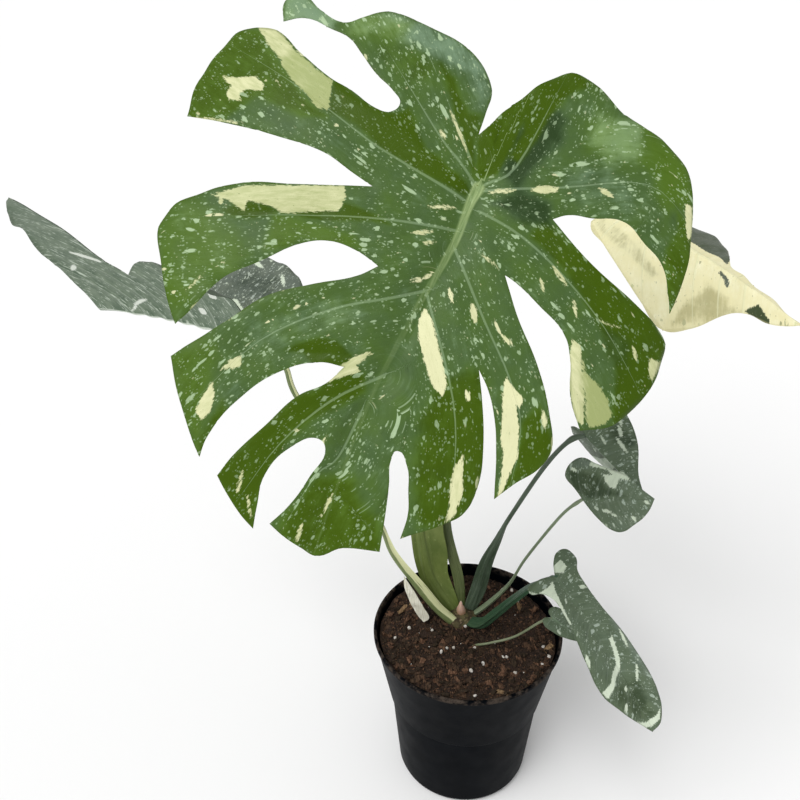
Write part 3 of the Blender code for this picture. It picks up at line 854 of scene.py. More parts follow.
def make_pot():
    """The pot with softened edges and a ring of drain holes round its middle pad."""
    pot = lathe("fine_pot", pot_profile(), POT_SIDES)
    soften = pot.modifiers.new("Soft edges", "BEVEL")
    soften.width = 0.0005
    soften.segments = 2
    soften.limit_method = "ANGLE"
    soften.angle_limit = math.radians(25)
    apply_modifiers(pot)
    ring = (BASE_RADIUS - FOOT_RING_WIDTH + BASE_PAD_RADIUS) / 2
    for number in range(DRAIN_HOLE_COUNT):
        angle = math.tau * number / DRAIN_HOLE_COUNT
        place = (ring * math.cos(angle), ring * math.sin(angle), 0)
        deselect()
        bpy.ops.mesh.primitive_cylinder_add(
            vertices=32, radius=DRAIN_HOLE_RADIUS, depth=0.03, location=place)
        drill = bpy.context.active_object
        hole = pot.modifiers.new("Drain hole", "BOOLEAN")
        hole.object = drill
        hole.operation = "DIFFERENCE"
        apply_modifiers(pot)
        bpy.data.objects.remove(drill)
    smooth(pot, 30)
    pot.data.materials.clear()
    pot.data.materials.append(pot_plastic())
    return finish_piece(pot, "pot", "pot")


def pot_plastic():
    """Black blow-moulded plastic, satin, with faint rub marks and pale grey-brown patches along the
    lip.
    """
    made, tree, shader = new_finish("pot_black_plastic", 0.5, Specular_IOR_Level=0.02)
    place = object_place(tree)
    cloud = between(tree, noise(tree, place, 22.0, 5.0, 0.6), 0.3, 0.75)
    colour = mix(tree, cloud, (0.0008, 0.0014, 0.0024), (0.0018, 0.0028, 0.0044))
    rub = noise(tree, stretched(tree, place, (1, 1, 7)), 95.0, 5.0, 0.7)
    rub = calc(tree, "MULTIPLY", between(tree, rub, 0.58, 0.78), 0.2)
    colour = mix(tree, rub, colour, (0.012, 0.014, 0.018))
    # Pale grey-brown patches in a band along the top of the lip.
    lip = between(tree, part_of(tree, place, 2), POT_HEIGHT - 0.007, POT_HEIGHT - 0.001)
    pale_lip_patches = between(tree, noise(tree, place, 130.0, 5.0, 0.7), 0.42, 0.66)
    pale_lip_patches = calc(tree, "MULTIPLY", lip, pale_lip_patches)
    colour = mix(tree, calc(tree, "MULTIPLY", pale_lip_patches, 0.55), colour, (0.120, 0.092, 0.072))
    gloss = calc(tree, "MULTIPLY_ADD", noise(tree, place, 60.0, 4.0), 0.24, 0.36)
    dents = noise(tree, place, 45.0, 3.0)
    grain = calc(tree, "MULTIPLY_ADD", noise(tree, place, 900.0, 2.0), 0.5, dents)
    connect(tree, shader, colour, gloss, grain, 0.12, 0.0004)
    return made


# ---------------------------------------------------------------- soil


# The potting mix: its gap to the pot, how far its middle stands above its level, how much higher it
# is at the wall and at the front, and how far the mix lies below the chips and crumbs on it.
SOIL_GAP = 0.0006
SOIL_MOUND = 0.005
SOIL_BANK = 0.004
SOIL_TILT = 0.0022
SOIL_SETTLE = 0.0012
SOIL_SIDES = 144
SOIL_TOP_RINGS = 46
SOIL_GRIT = 0.0007
SOIL_EDGE = RIM_RADIUS - LIP_OVERHANG - POT_WALL - SOIL_GAP
SOIL_EDGE -= (
    (POT_HEIGHT - SOIL_LEVEL - SOIL_MOUND) / COLLAR_HEIGHT * (RIM_RADIUS - COLLAR_FOOT_RADIUS)
)

# No loose chip or crumb has its middle closer than this to the crown's axis.
CROWN_CLEARANCE = 0.013


def soil_height(x, y):
    """Banked up towards the wall, most at the front, with small heaps and hollows."""
    share = math.hypot(x, y) / RIM_RADIUS
    mound = SOIL_MOUND + SOIL_BANK * share * share - SOIL_TILT * (x + y) / RIM_RADIUS
    heaps = 0.0011 * math.sin(x * 190 + 1.3) * math.sin(y * 160 + 0.4)
    ripples = 0.0008 * math.sin(x * 410 - y * 350)
    return SOIL_LEVEL + mound + (heaps + ripples) - SOIL_SETTLE


def make_soil():
    """The potting mix that fills the pot, with an uneven top."""
    step = POT_HEIGHT - COLLAR_HEIGHT
    floor = FOOT_HEIGHT + BASE_FLOOR + SOIL_GAP
    inset = POT_WALL + SOIL_GAP
    profile = [
        (AXIS_GAP, floor), (BASE_RADIUS - 0.009, floor), (BASE_RADIUS + 0.0009 - inset, INNER_BEND),
        (BODY_TOP_RADIUS - inset, step - COLLAR_STEP + inset),
        (COLLAR_FOOT_RADIUS - inset, step + inset),
    ]
    for number in range(SOIL_TOP_RINGS + 1):
        profile.append((SOIL_EDGE * (1 - number / SOIL_TOP_RINGS) + AXIS_GAP, SOIL_LEVEL))
    soil = lathe("fine_soil", profile, SOIL_SIDES)
    chance = random.Random(4)
    for vertex in soil.data.vertices:
        if vertex.co.z > SOIL_LEVEL - 0.001:
            grit = chance.uniform(-SOIL_GRIT, SOIL_GRIT)
            vertex.co.z = soil_height(vertex.co.x, vertex.co.y) + grit
    smooth(soil, 60)
    soil.data.materials.append(soil_mix())
    return finish_piece(soil, "soil", "soil")


def soil_mix():
    """Moist peat: near black to red brown crumbs."""
    made, tree, shader = new_finish("moist_peat", 0.85, Specular_IOR_Level=0.25)
    place = object_place(tree)
    crumb = node(tree, "TexVoronoi", {"Vector": place, "Scale": 620.0})
    tint = node(tree, "SeparateColor", {0: crumb.outputs["Color"]}).outputs[0]
    colour = mix(tree, tint, (0.010, 0.0065, 0.0045), (0.050, 0.028, 0.018))
    damp = between(tree, noise(tree, place, 55.0, 4.0), 0.45, 0.7)
    colour = mix(tree, damp, colour, (0.035, 0.020, 0.013))
    lumps = calc(tree, "ADD", crumb.outputs["Distance"], noise(tree, place, 300.0, 5.0, 0.7))
    connect(tree, shader, colour, None, lumps, 0.9, 0.0012)
    return made


def starting_shape(kind):
    """Points and faces of the shape that every small solid starts from, one unit across."""
    deselect()
    if kind == "slab":
        bpy.ops.mesh.primitive_cube_add(size=1)
        bpy.ops.object.mode_set(mode="EDIT")
        bpy.ops.mesh.subdivide(number_cuts=1)
        bpy.ops.object.mode_set(mode="OBJECT")
    else:
        bpy.ops.mesh.primitive_ico_sphere_add(subdivisions=1 if kind == "crumb" else 2, radius=0.5)
    item = bpy.context.active_object
    points = [vertex.co.copy() for vertex in item.data.vertices]
    faces = [tuple(face.vertices) for face in item.data.polygons]
    bpy.data.objects.remove(item)
    return [point * (1.18 - 0.38 * point.length) for point in points], faces


def bits(name, count, kind, sizes, seed, sink, tilt, spots=()):
    """Many small solids lying on the soil, each with its own tint, joined in one object.

    sizes are ranges of length, width and depth in millimetres, sink is the share of a solid that lies
    below the top, tilt is in radians, and spots are the places that are given and not drawn by chance.
    """
    chance = random.Random(seed)
    start_points, start_faces = starting_shape(kind)
    rough = 0.16 if kind == "slab" else 0.10
    points, faces, tints = [], [], []
    for number in range(count + len(spots)):
        if number < len(spots):
            x, y = spots[number]
        else:
            angle = chance.uniform(0, math.tau)
            radius = (SOIL_EDGE - 0.001) * math.sqrt(chance.random())
            x, y = radius * math.cos(angle), radius * math.sin(angle)
            if math.hypot(x - CROWN.x, y - CROWN.y) < CROWN_CLEARANCE:
                continue
        length, width, depth = (chance.uniform(*size) * MM for size in sizes)
        room = SOIL_EDGE - math.hypot(x, y) - length * 0.5
        if room < 0:
            inward = 1 + room / math.hypot(x, y)
            x, y = x * inward, y * inward
        turn = Matrix.Rotation(chance.uniform(0, math.tau), 3, "Z")
        for axis in "XY":
            turn = turn @ Matrix.Rotation(chance.gauss(0, tilt), 3, axis)
        place = Vector((x, y, soil_height(x, y) + depth * (0.5 - sink)))
        first = len(points)
        for point in start_points:
            moved = point + Vector([chance.uniform(-rough, rough) for _ in range(3)])
            points.append(place + turn @ Vector((moved.x * length, moved.y * width, moved.z * depth)))
        faces += [tuple(first + index for index in face) for face in start_faces]
        tints += [chance.random()] * len(start_points)
    mesh = bpy.data.meshes.new(name)
    mesh.from_pydata(points, [], faces)
    write_values(mesh, "tint", tints)
    return new_object(name, mesh)


def bark_finish(name, dark, light):
    """Fibrous bark between two pairs of colours, each chip with its own tint."""
    made, tree, shader = new_finish(name, 0.8, Specular_IOR_Level=0.2)
    place = object_place(tree)
    tint = calc(tree, "POWER", attribute(tree, "tint"), 2.2)
    fibre = noise(tree, stretched(tree, place, (1, 0.25, 1), turn=(0, 0, 0.7)), 900.0, 4.0, 0.65)
    dark, light = mix(tree, tint, *dark), mix(tree, tint, *light)
    colour = mix(tree, between(tree, fibre, 0.35, 0.72), dark, light)
    connect(tree, shader, colour, None, fibre, 0.8, 0.0008)
    return made


def perlite_finish():
    """Off-white porous grains."""
    made, tree, shader = new_finish("perlite_grains", 0.8, Specular_IOR_Level=0.3)
    place = object_place(tree)
    pores = noise(tree, place, 1500.0, 4.0, 0.7)
    colour = mix(tree, between(tree, pores, 0.35, 0.6), (0.42, 0.38, 0.33), (0.85, 0.83, 0.79))
    stain = calc(tree, "MULTIPLY", attribute(tree, "tint"), 0.35)
    colour = mix(tree, stain, colour, (0.30, 0.22, 0.16))
    connect(tree, shader, colour, None, pores, 0.7, 0.0006)
    return made


# Where the large grains of perlite and two of the tan chips lie.
PERLITE_SPOTS = [
    (-0.0523, 0.0085), (-0.0316, 0.0061), (0.0118, -0.0337), (0.0299, -0.0255), (0.0009, -0.0412),
    (0.0061, -0.0136), (0.0700, -0.0240), (0.0388, -0.0435), (0.0633, -0.0346), (0.050, 0.046),
]
TAN_SPOTS = [(-0.058, 0.031), (-0.050, 0.036)]


def dress_soil():
    """Bark chips, fine crumbs, a few tan chips and perlite on top of the potting mix."""
    bark = bark_finish("composted_bark", ((0.012, 0.008, 0.0045), (0.065, 0.030, 0.016)),
                       ((0.052, 0.033, 0.019), (0.230, 0.125, 0.075)))
    tan_bark = bark_finish("tan_bark", ((0.110, 0.062, 0.030), (0.150, 0.090, 0.045)),
                           ((0.300, 0.190, 0.095), (0.380, 0.260, 0.140)))
    white = perlite_finish()
    for name, count, kind, sizes, seed, sink, tilt, spots, finish in (
        ("bark_chips", 520, "slab", ((3, 9), (1.8, 5), (0.9, 2.6)), 11, 0.30, 0.35, (), bark),
        ("peat_crumbs", 3600, "crumb", ((0.9, 2.8), (0.8, 2.2), (0.7, 1.7)), 12, 0.25, 0.6, (), bark),
        ("tan_chips", 3, "slab", ((8, 12), (4, 6), (1.4, 2.4)), 15, 0.10, 0.2, TAN_SPOTS, tan_bark),
        ("perlite", 15, "puff", ((2.6, 4.4), (2.4, 3.9), (2.0, 3.2)), 13, 0.15, 0.8,
         PERLITE_SPOTS, white),
        ("perlite_fines", 26, "crumb", ((0.8, 1.7), (0.8, 1.6), (0.7, 1.4)), 14, 0.10, 0.8, (), white),
    ):
        item = bits(name, count, kind, sizes, seed, sink, tilt, spots)
        item.data.materials.append(finish)
        smooth(item, 40)
        finish_piece(item, "soil")


# ---------------------------------------------------------------- crown, young tip and dry sheath


CROWN_DOME = 0.008
CROWN_SIDES = 72
TIP_SIDES = 28


def make_crown():
    """The short stem: a knobbly dome with the scars of old leaves."""
    bottom = crown_low.z - CROWN.z
    radius = (crown_high.x - crown_low.x) / 2
    axis_gap = 0.0004
    profile = [(axis_gap, bottom), (radius * 0.7, bottom)]
    profile += [(radius * (0.72 + 0.28 * n / 8), bottom * (1 - n / 8)) for n in range(1, 9)]
    for number in range(13):
        angle = math.radians(90 - 7.4 * number)
        height = CROWN_RISE - CROWN_DOME + CROWN_DOME * math.cos(angle)
        profile.append((radius * math.sin(angle) + axis_gap, height))
    crown = lathe("fine_crown", profile, CROWN_SIDES)
    for vertex in crown.data.vertices:
        around = math.atan2(vertex.co.y, vertex.co.x)
        ridge = math.sin(vertex.co.z * 1300 + 1.6 * math.sin(around * 3))
        lump = math.sin(around * 5 + vertex.co.z * 300) * math.sin(around * 2 + 1)
        shrink = 0.975 + 0.02 * ridge + 0.03 * lump
        vertex.co.x *= shrink
        vertex.co.y *= shrink
        vertex.co += CROWN
    crown.data.materials.append(crown_bark())
    smooth(crown, 60)
    return finish_piece(crown, "crown", "crown")


def crown_bark():
    """Green brown bark with paler scars."""
    made, tree, shader = new_finish("crown_bark", 0.8, Specular_IOR_Level=0.25)
    place = object_place(tree)
    cloud = noise(tree, place, 160.0, 5.0, 0.65)
    colour = mix(tree, between(tree, cloud, 0.35, 0.65), (0.030, 0.020, 0.011), (0.110, 0.095, 0.040))
    scar = between(tree, noise(tree, place, 420.0, 4.0), 0.56, 0.7)
    colour = mix(tree, scar, colour, (0.210, 0.155, 0.095))
    connect(tree, shader, colour, None, cloud, 0.8, 0.0012)
    return made


def make_growing_tip():
    """The pointed young sheath, pink where the light comes through, folded round itself."""
    route = smoothed([(0, -1, 8), (-0.5, -1.5, 14), (-1, -2.5, 20), (-1.2, -3.2, 27)], 8)

    def section(share, done):
        half = 4.0 * (1 - share) ** 0.62
        half = half * (0.85 + 0.3 * math.sin(math.pi * min(1, share * 1.4))) + 0.25
        radii = []
        for number in range(TIP_SIDES):
            fold = math.exp(-((math.tau * number / TIP_SIDES - 1.2) / 0.5) ** 2)
            radii.append(half * (1 + 0.14 * fold))
        return radii

    tip = swept("fine_growing_tip", route, section)
    tip.data.materials.append(young_skin())
    smooth(tip, 60)
    return finish_piece(tip, "growing_tip", "growing_tip")


def young_skin():
    """Pink towards the point and tan at the foot, with brown streaks."""
    made, tree, shader = new_finish("young_sheath", 0.5, Subsurface_Weight=0.15, Subsurface_Scale=0.004)
    streak = noise(tree, stretched(tree, uv_place(tree, "Grain"), (40, 0.5, 1)), 1.0, 4.0)
    up = between(tree, part_of(tree, object_place(tree), 2), CROWN.z + 0.008, CROWN.z + 0.024)
    colour = mix(tree, up, (0.330, 0.170, 0.085), (0.740, 0.500, 0.400))
    brown = calc(tree, "MULTIPLY", between(tree, streak, 0.5, 0.7), 0.6)
    colour = mix(tree, brown, colour, (0.560, 0.350, 0.230))
    connect(tree, shader, colour, None, streak, 0.4, 0.0005)
    return made


def paper_finish():
    """A dead, dried sheath: off-white, thin, with brown fibres."""
    made, tree, shader = new_finish("dry_sheath_paper", 0.75, Specular_IOR_Level=0.3)
    flat = uv_place(tree, "Flat")
    fibre = noise(tree, stretched(tree, flat, (14, 1.2, 1), turn=(0, 0, -0.2)), 1.0, 4.0, 0.6)
    colour = mix(tree, between(tree, fibre, 0.35, 0.7), (0.62, 0.60, 0.46), (0.88, 0.86, 0.76))
    blot = between(tree, noise(tree, flat, 2.2, 4.0), 0.55, 0.72)
    colour = mix(tree, calc(tree, "MULTIPLY", blot, 0.6), colour, (0.42, 0.34, 0.20))
    connect(tree, shader, colour, None, fibre, 0.5, 0.0006)
    return made


# ---------------------------------------------------------------- leaf drawings


MAIN_MIDRIB = [
    (-1, -1), (0, 11), (-1, 32), (1, 55), (4, 77), (6, 100), (7, 114), (8, 138), (7, 173),
    (4, 219), (2, 241),
]

MAIN_VEINS = [
    [(-1, -1), (15, -10), (30, -18), (50, -32), (80, -55)],
    [(10, -14), (37, -42)],
    [(5, 9), (55, 3), (83, -3), (170, -28)],
    [(1, 28), (43, 40), (89, 57), (133, 76)],
    [(3, 68), (21, 81), (50, 101), (82, 135), (105, 186)],
    [(6, 124), (29, 150), (47, 186), (57, 227)],
    [(10, 150), (12, 180), (20, 195), (25, 227)],
    [(-4, -5), (-17, -22), (-23, -82)],
    [(-5, -1), (-47, -21), (-94, -46), (-130, -36)],
    [(-7, 12), (-38, 17), (-73, 30), (-104, 46), (-139, 71)],
    [(-2, 38), (-34, 70), (-63, 97), (-81, 122), (-92, 166)],
    [(2, 70), (-37, 121), (-55, 160), (-63, 192)],
]

# Each mark: how much of it is washed to pale green, and its outline.
MAIN_PATCHES = [
    (0.85, [(135, -36), (125, -32), (114, -27), (104, -25), (102, -17), (99, -7), (106, -6),
            (116, -12), (127, -17), (139, -26)]),
    (0.45, [(164, -46), (156, -48), (145, -44), (134, -36), (138, -27), (150, -34), (158, -41)]),
    (0.5, [(144, 66), (128, 54), (93, 40), (72, 31), (69, 37), (69, 46), (76, 49), (87, 54),
            (92, 57), (100, 60), (108, 59), (122, 61), (121, 68), (134, 65)]),
    (0.35, [(171, -8), (161, -9), (150, -13), (142, -9), (142, -5), (152, -3), (155, 1), (152, 5),
            (160, 6), (164, 2), (162, -3), (169, -6)]),
    (0.05, [(0, 78), (-7, 83), (-20, 100), (-30, 114), (-31, 122), (-22, 118), (-11, 105),
            (-4, 96), (0, 87)]),
    (0.05, [(-60, 96), (-66, 100), (-75, 104), (-75, 110), (-72, 109), (-79, 120), (-86, 137),
            (-86, 148), (-87, 161), (-86, 168), (-83, 155), (-78, 140), (-72, 131), (-66, 115),
            (-62, 105)]),
    (0.25, [(-56, 148), (-60, 159), (-65, 169), (-66, 185), (-63, 192), (-61, 181), (-56, 168),
            (-54, 158)]),
    (0.30, [(-88, 60), (-94, 62), (-100, 74), (-108, 88), (-114, 104), (-110, 104), (-100, 92),
            (-92, 78)]),
    (0.95, [(-98, 68), (-104, 76), (-112, 78), (-122, 84), (-129, 92), (-127, 98), (-119, 104),
            (-114, 100), (-110, 90), (-104, 82)]),
    (0.45, [(-137, 50), (-143, 50), (-147, 48), (-145, 62), (-141, 60)]),
    (0.2, [(-121, -46), (-126, -48), (-134, -32), (-131, -26), (-127, -33)]),
    (0.35, [(97, 160), (93, 152), (88, 147), (86, 153), (93, 158)]),
    (0.30, [(101, 188), (100, 178), (98, 168), (94, 174), (92, 184), (95, 192), (99, 190)]),
    (0.45, [(36, 142), (34, 132), (27, 121), (20, 115), (17, 114), (24, 125), (20, 128), (28, 134)]),
]

# Each streak: its two ends and its width.
MAIN_STREAKS = [
    (22, 23, 7, 16, 2.2), (25, 41, 14, 35, 2.5), (17, 44, 10, 40, 2), (14, 67, 8, 63, 2.5),
    (8, 63, 4, 57, 2.2), (-8, -1, -22, -8, 2.5), (-31, -12, -45, -19, 5), (-68, -30, -77, -29, 3.5),
    (-18, 36, -31, 40, 1.2), (-25, 65, -31, 74, 4), (-9, 62, -14, 69, 2.5), (33, -37, 14, -18, 2),
    (34, -23, 29, -20, 2.5), (-60, 25, -72, 32, 2.2), (-56, 35, -61, 42, 2),
    (-98, 43, -112, 42, 1.3), (-124, 48, -130, 55, 2), (138, 65, 136, 69, 3),
    (134, 125, 128, 111, 1.5), (179, 23, 144, 18, 1.6), (127, 134, 122, 126, 2),
    (59, 224, 61, 210, 2), (46, 234, 53, 223, 1.8), (25, 182, 23, 170, 2), (7, 215, 6, 202, 2.2),
    (15, 238, 16, 226, 2.5), (-79, 38, -85, 47, 2), (-48, 75, -56, 78, 2.5),
    (-88, 106, -94, 115, 3), (-42, 113, -46, 118, 3),
]

# Each zone paints sheen and shade into the blade's colour: its tone from deep, painted shade (-1),
# to pale, painted sheen (1), its warmth from cool (-1) to warm (1), how many millimetres its edge
# fades over, and its outline.
MAIN_SHEEN_SHADE_ZONES = [
    (0.85, -0.8, 14, [(100, -76), (80, -84), (50, -84), (26, -74), (16, -58), (14, -46), (20, -48),
                      (32, -62), (60, -66), (88, -68)]),
    (0.75, 0.5, 12, [(112, -68), (96, -80), (76, -80), (80, -64), (92, -56), (108, -58)]),
    (1.25, -0.3, 10, [(120, -70), (156, -78), (150, -52), (118, -56)]),
    (0.15, -0.3, 10, [(152, 8), (120, 5), (90, 3), (66, 6), (66, 14), (95, 16), (125, 18), (152, 19)]),
    (1.0, 0.4, 14, [(-50, -74), (-80, -80), (-88, -60), (-66, -50), (-52, -54)]),
    (0.45, -0.4, 16, [(-56, -44), (-84, -44), (-100, -30), (-92, -20), (-60, -18), (-46, -28)]),
    (0.15, 0.5, 20, [(170, 96), (158, 72), (130, 78), (110, 90), (120, 118), (133, 146), (150, 130)]),
    (0.45, -0.1, 16, [(84, 118), (60, 100), (38, 88), (30, 100), (50, 116), (76, 140), (90, 150)]),
    (-0.15, 0.9, 9, [(104, 62), (90, 61), (75, 59), (58, 57), (46, 61), (60, 66), (80, 68), (90, 78),
                     (100, 84)]),
    (-0.35, 0.3, 14, [(94, -62), (70, -62), (52, -60), (52, -48), (62, -42), (78, -46), (90, -54)]),
    (-0.60, 1.0, 7, [(188, 0), (181, -24), (172, -42), (160, -42), (150, -34), (140, -26), (130, -18),
                     (118, -10), (107, -5), (98, -3), (112, 2), (130, 1), (144, -2), (150, 8),
                     (156, 16), (158, 24), (178, 26), (185, 22)]),
    (-1.0, 0.8, 5, [(103, -26), (95, -24), (85, -20), (75, -19), (66, -19), (60, -22), (56, -27),
                    (50, -22), (44, -14), (36, -8), (20, -4), (8, -1), (3, 3), (5, 6), (20, 6),
                    (35, 5), (52, 3), (62, 1), (72, -3), (82, -6), (98, -6)]),
    (-0.9, 0.7, 6, [(50, -62), (40, -50), (34, -43), (30, -36), (22, -28), (14, -18), (4, -6),
                    (9, -16), (12, -24), (14, -33), (15, -42), (22, -40), (30, -46), (38, -56)]),
    (-1.0, 0.8, 3, [(68, 41), (68, 46), (78, 49), (90, 55), (93, 58), (84, 57), (74, 54), (64, 50),
                    (50, 44), (38, 41), (50, 40), (60, 40)]),
    (-0.95, 0.7, 5, [(122, 61), (113, 58), (104, 61), (108, 66), (118, 71), (129, 74), (134, 72),
                     (128, 66)]),
    (-0.95, 0.6, 3, [(28, 121), (40, 117), (50, 119), (60, 127), (66, 134), (56, 131), (48, 134),
                     (38, 131), (30, 129)]),
    (-0.15, 0.6, 12, [(128, 165), (116, 148), (104, 148), (98, 176), (88, 213), (112, 187)]),
    (-0.5, 0.5, 5, [(88, 176), (92, 200), (88, 214), (84, 200), (80, 182)]),
    (-0.85, 0.9, 7, [(38, 146), (34, 136), (28, 131), (18, 128), (13, 138), (24, 152), (36, 166),
                     (44, 182), (48, 205), (46, 226), (42, 242), (56, 238), (68, 226), (76, 219),
                     (70, 204), (60, 179), (49, 155)]),
    (-0.65, 1.0, 12, [(27, 228), (22, 212), (18, 196), (8, 192), (-2, 190), (-12, 200), (-24, 204),
                      (-36, 224), (-13, 232), (1, 245), (26, 238)]),
    (-0.75, 0.7, 12, [(-26, 118), (-38, 102), (-46, 100), (-54, 112), (-62, 125), (-70, 140),
                      (-76, 160), (-74, 185), (-62, 196), (-50, 198), (-40, 184), (-32, 160),
                      (-24, 140)]),
    (-0.8, 0.9, 6, [(-84, 104), (-93, 112), (-104, 122), (-102, 138), (-92, 152), (-85, 168),
                    (-88, 142), (-80, 116)]),
    (-0.9, 0.7, 6, [(-45, 3), (-52, 6), (-70, 10), (-90, 15), (-115, 24), (-130, 29), (-146, 38),
                    (-148, 66), (-142, 84), (-133, 98), (-128, 88), (-124, 74), (-116, 58),
                    (-100, 46), (-84, 35), (-70, 26), (-56, 19), (-40, 15)]),
    (-0.7, 0.0, 8, [(-104, 46), (-122, 46), (-126, 62), (-110, 62)]),
    (0.0, 0.8, 14, [(-80, -82), (-114, -68), (-124, -52), (-112, -34), (-98, -48), (-86, -60)]),
    (-0.5, 1.0, 6, [(-119, -38), (-123, -28), (-120, -14), (-124, -2), (-132, 12), (-139, 21),
                    (-139, -3), (-134, -30), (-128, -36)]),
    (-0.8, -1.0, 10, [(-12, -46), (-10, -16), (-20, -10), (-44, -8), (-50, 4), (-34, 8), (-12, 5),
                      (-22, -4), (-26, -22), (-36, -46), (-34, -62), (-24, -66)]),
    (-0.9, 0.8, 6, [(-26, -95), (-10, -77), (-2, -62), (-8, -55), (-12, -45), (-11, -26), (-18, -24),
                    (-22, -42), (-24, -60), (-28, -76), (-40, -92)]),
    (-0.8, 0.9, 3, [(14, -35), (5, -50), (-2, -62), (-8, -58), (-10, -50), (-10, -30), (-8, -12),
                    (2, -6), (10, -25)]),
]

# The large leaf, lobe by lobe: left side from the base to the tip, then the right side back.
MAIN_OUTLINE = [
    (12, -30, CORNER), (13, -45), (15, -61), (25, -72), (43, -80), (68, -83), (92, -82),
    (105, -72), (114, -64), (130, -67), (148, -75), (154, -67), (149, -53, CORNER),
    (138, -59), (119, -57), (106, -55), (96, -49), (82, -40), (69, -34), (62, -28),
    (66, -20), (74, -19), (92, -24), (106, -26), (129, -35), (150, -46), (164, -45),
    (175, -38), (181, -24), (186, -2), (183, 23, CORNER), (159, 21), (125, 19), (91, 18),
    (72, 22), (57, 25, CORNER),
    (70, 30), (95, 40), (129, 52), (146, 63), (163, 79), (168, 96), (157, 116), (138, 141),
    (133, 146, CORNER), (126, 132), (118, 112), (98, 90), (82, 73), (67, 65), (50, 64),
    (35, 67, CORNER),
    (44, 77), (66, 92), (89, 110), (105, 133), (121, 155), (128, 165, CORNER), (112, 187),
    (96, 205), (88, 213, CORNER), (88, 198), (79, 170), (63, 146), (44, 132), (30, 129, CORNER),
    (36, 142), (48, 155), (59, 179), (70, 204), (74, 219, CORNER), (66, 226), (52, 236),
    (42, 241, CORNER), (45, 227), (48, 207), (40, 185), (27, 174), (21, 178), (23, 197),
    (27, 217), (34, 234, CORNER),
    (24, 238), (11, 241), (1, 243), (-13, 230), (-34, 223, CORNER), (-28, 200), (-23, 183),
    (-18, 168), (-19, 162), (-28, 168), (-35, 182), (-40, 194), (-42, 210, CORNER),
    (-51, 202), (-61, 193), (-70, 183), (-72, 164), (-65, 140), (-52, 113), (-44, 99, CORNER),
    (-54, 108), (-64, 122), (-72, 137), (-84, 166, CORNER), (-92, 152), (-101, 138),
    (-103, 125), (-91, 104), (-74, 82), (-52, 61), (-40, 47), (-36, 42, CORNER),
    (-42, 43), (-61, 50), (-83, 60), (-91, 71), (-100, 92), (-114, 108, CORNER), (-132, 97),
    (-146, 67), (-144, 38), (-116, 25), (-76, 13), (-49, 0, CORNER),
    (-57, -7), (-71, -11), (-88, -17), (-106, -11), (-122, -4), (-133, 12),
    (-138, 20, CORNER), (-138, -3), (-132, -33), (-124, -54), (-113, -68), (-93, -78),
    (-79, -80), (-66, -82), (-46, -92), (-26, -93), (-11, -77), (-3, -62), (4, -50), (8, -39),
]

LEFT_OUTLINE = [
    (0, -6, CORNER), (15, -40), (43, -50), (72, -28), (88, 5), (91, 29), (84, 60), (80, 95),
    (58, 122), (25, 140), (-3, 151, CORNER), (-20, 152), (-57, 147), (-111, 127), (-160, 88),
    (-176, 65, CORNER), (-160, 66), (-123, 70), (-74, 73), (-58, 62, CORNER), (-77, 38),
    (-90, 8), (-84, -25), (-60, -48), (-30, -46), (-8, -22),
]

CREAM_OUTLINE = [
    (0, -4, CORNER), (7, -6), (13, -16), (22, -20), (34, 0), (45, 22), (59, 53), (69, 84), (55, 103),
    (29, 119), (20, 130), (15, 150), (6, 163), (0, 169, CORNER), (-5, 140), (-8, 112),
    (-14, 96), (-44, 86), (-60, 66), (-50, 45), (-38, 10), (-28, -16),
    (-17, -19), (-7, -6),
]

HANGING_OUTLINE = [
    (0, -3, CORNER), (14, -14), (28, -10), (34, 8), (28, 28), (12, 50), (0, 66, CORNER),
    (-9, 51), (-26, 34), (-37, 12), (-38, -8), (-28, -18), (-12, -14),
]

SMALL_OUTLINE = [
    (0, -1, CORNER), (-9, -7), (-19, -14), (-28, -10), (-33, 0), (-28, 13), (-23, 25),
    (-18, 38), (-8, 48), (0, 58, CORNER), (11, 53), (21, 42), (26, 33), (24, 24), (17, 15),
    (7, 5),
]

LOW_OUTLINE = [
    (0, -2, CORNER), (-8, -13), (-17, -17), (-25, -14), (-27, -4), (-20, 5), (-18, 20),
    (-19, 40), (-22, 62), (-23, 82), (-23, 113), (-19, 128), (-9, 140), (1, 142, CORNER), (8, 132),
    (22, 110), (29, 90), (26, 66), (22, 48), (18, 33), (17, 17), (22, 5), (32, -4), (19, -7),
]

TUCKED_OUTLINE = [
    (0, -1, CORNER), (-4, -6), (-9, -4), (-11, 4), (-8, 18), (0, 36, CORNER), (7, 22),
    (10, 6), (8, -4), (4, -6),
]

# The dry sheath leans to the left as it rises: x to the right, y up.
SHEATH_OUTLINE = [
    (0, -1, CORNER), (5, 4), (1, 14), (-5, 26), (-11, 37), (-17, 47, CORNER), (-17, 37),
    (-15, 29), (-12, 20), (-8, 11), (-4, 4),
]


# ---------------------------------------------------------------- the leaves


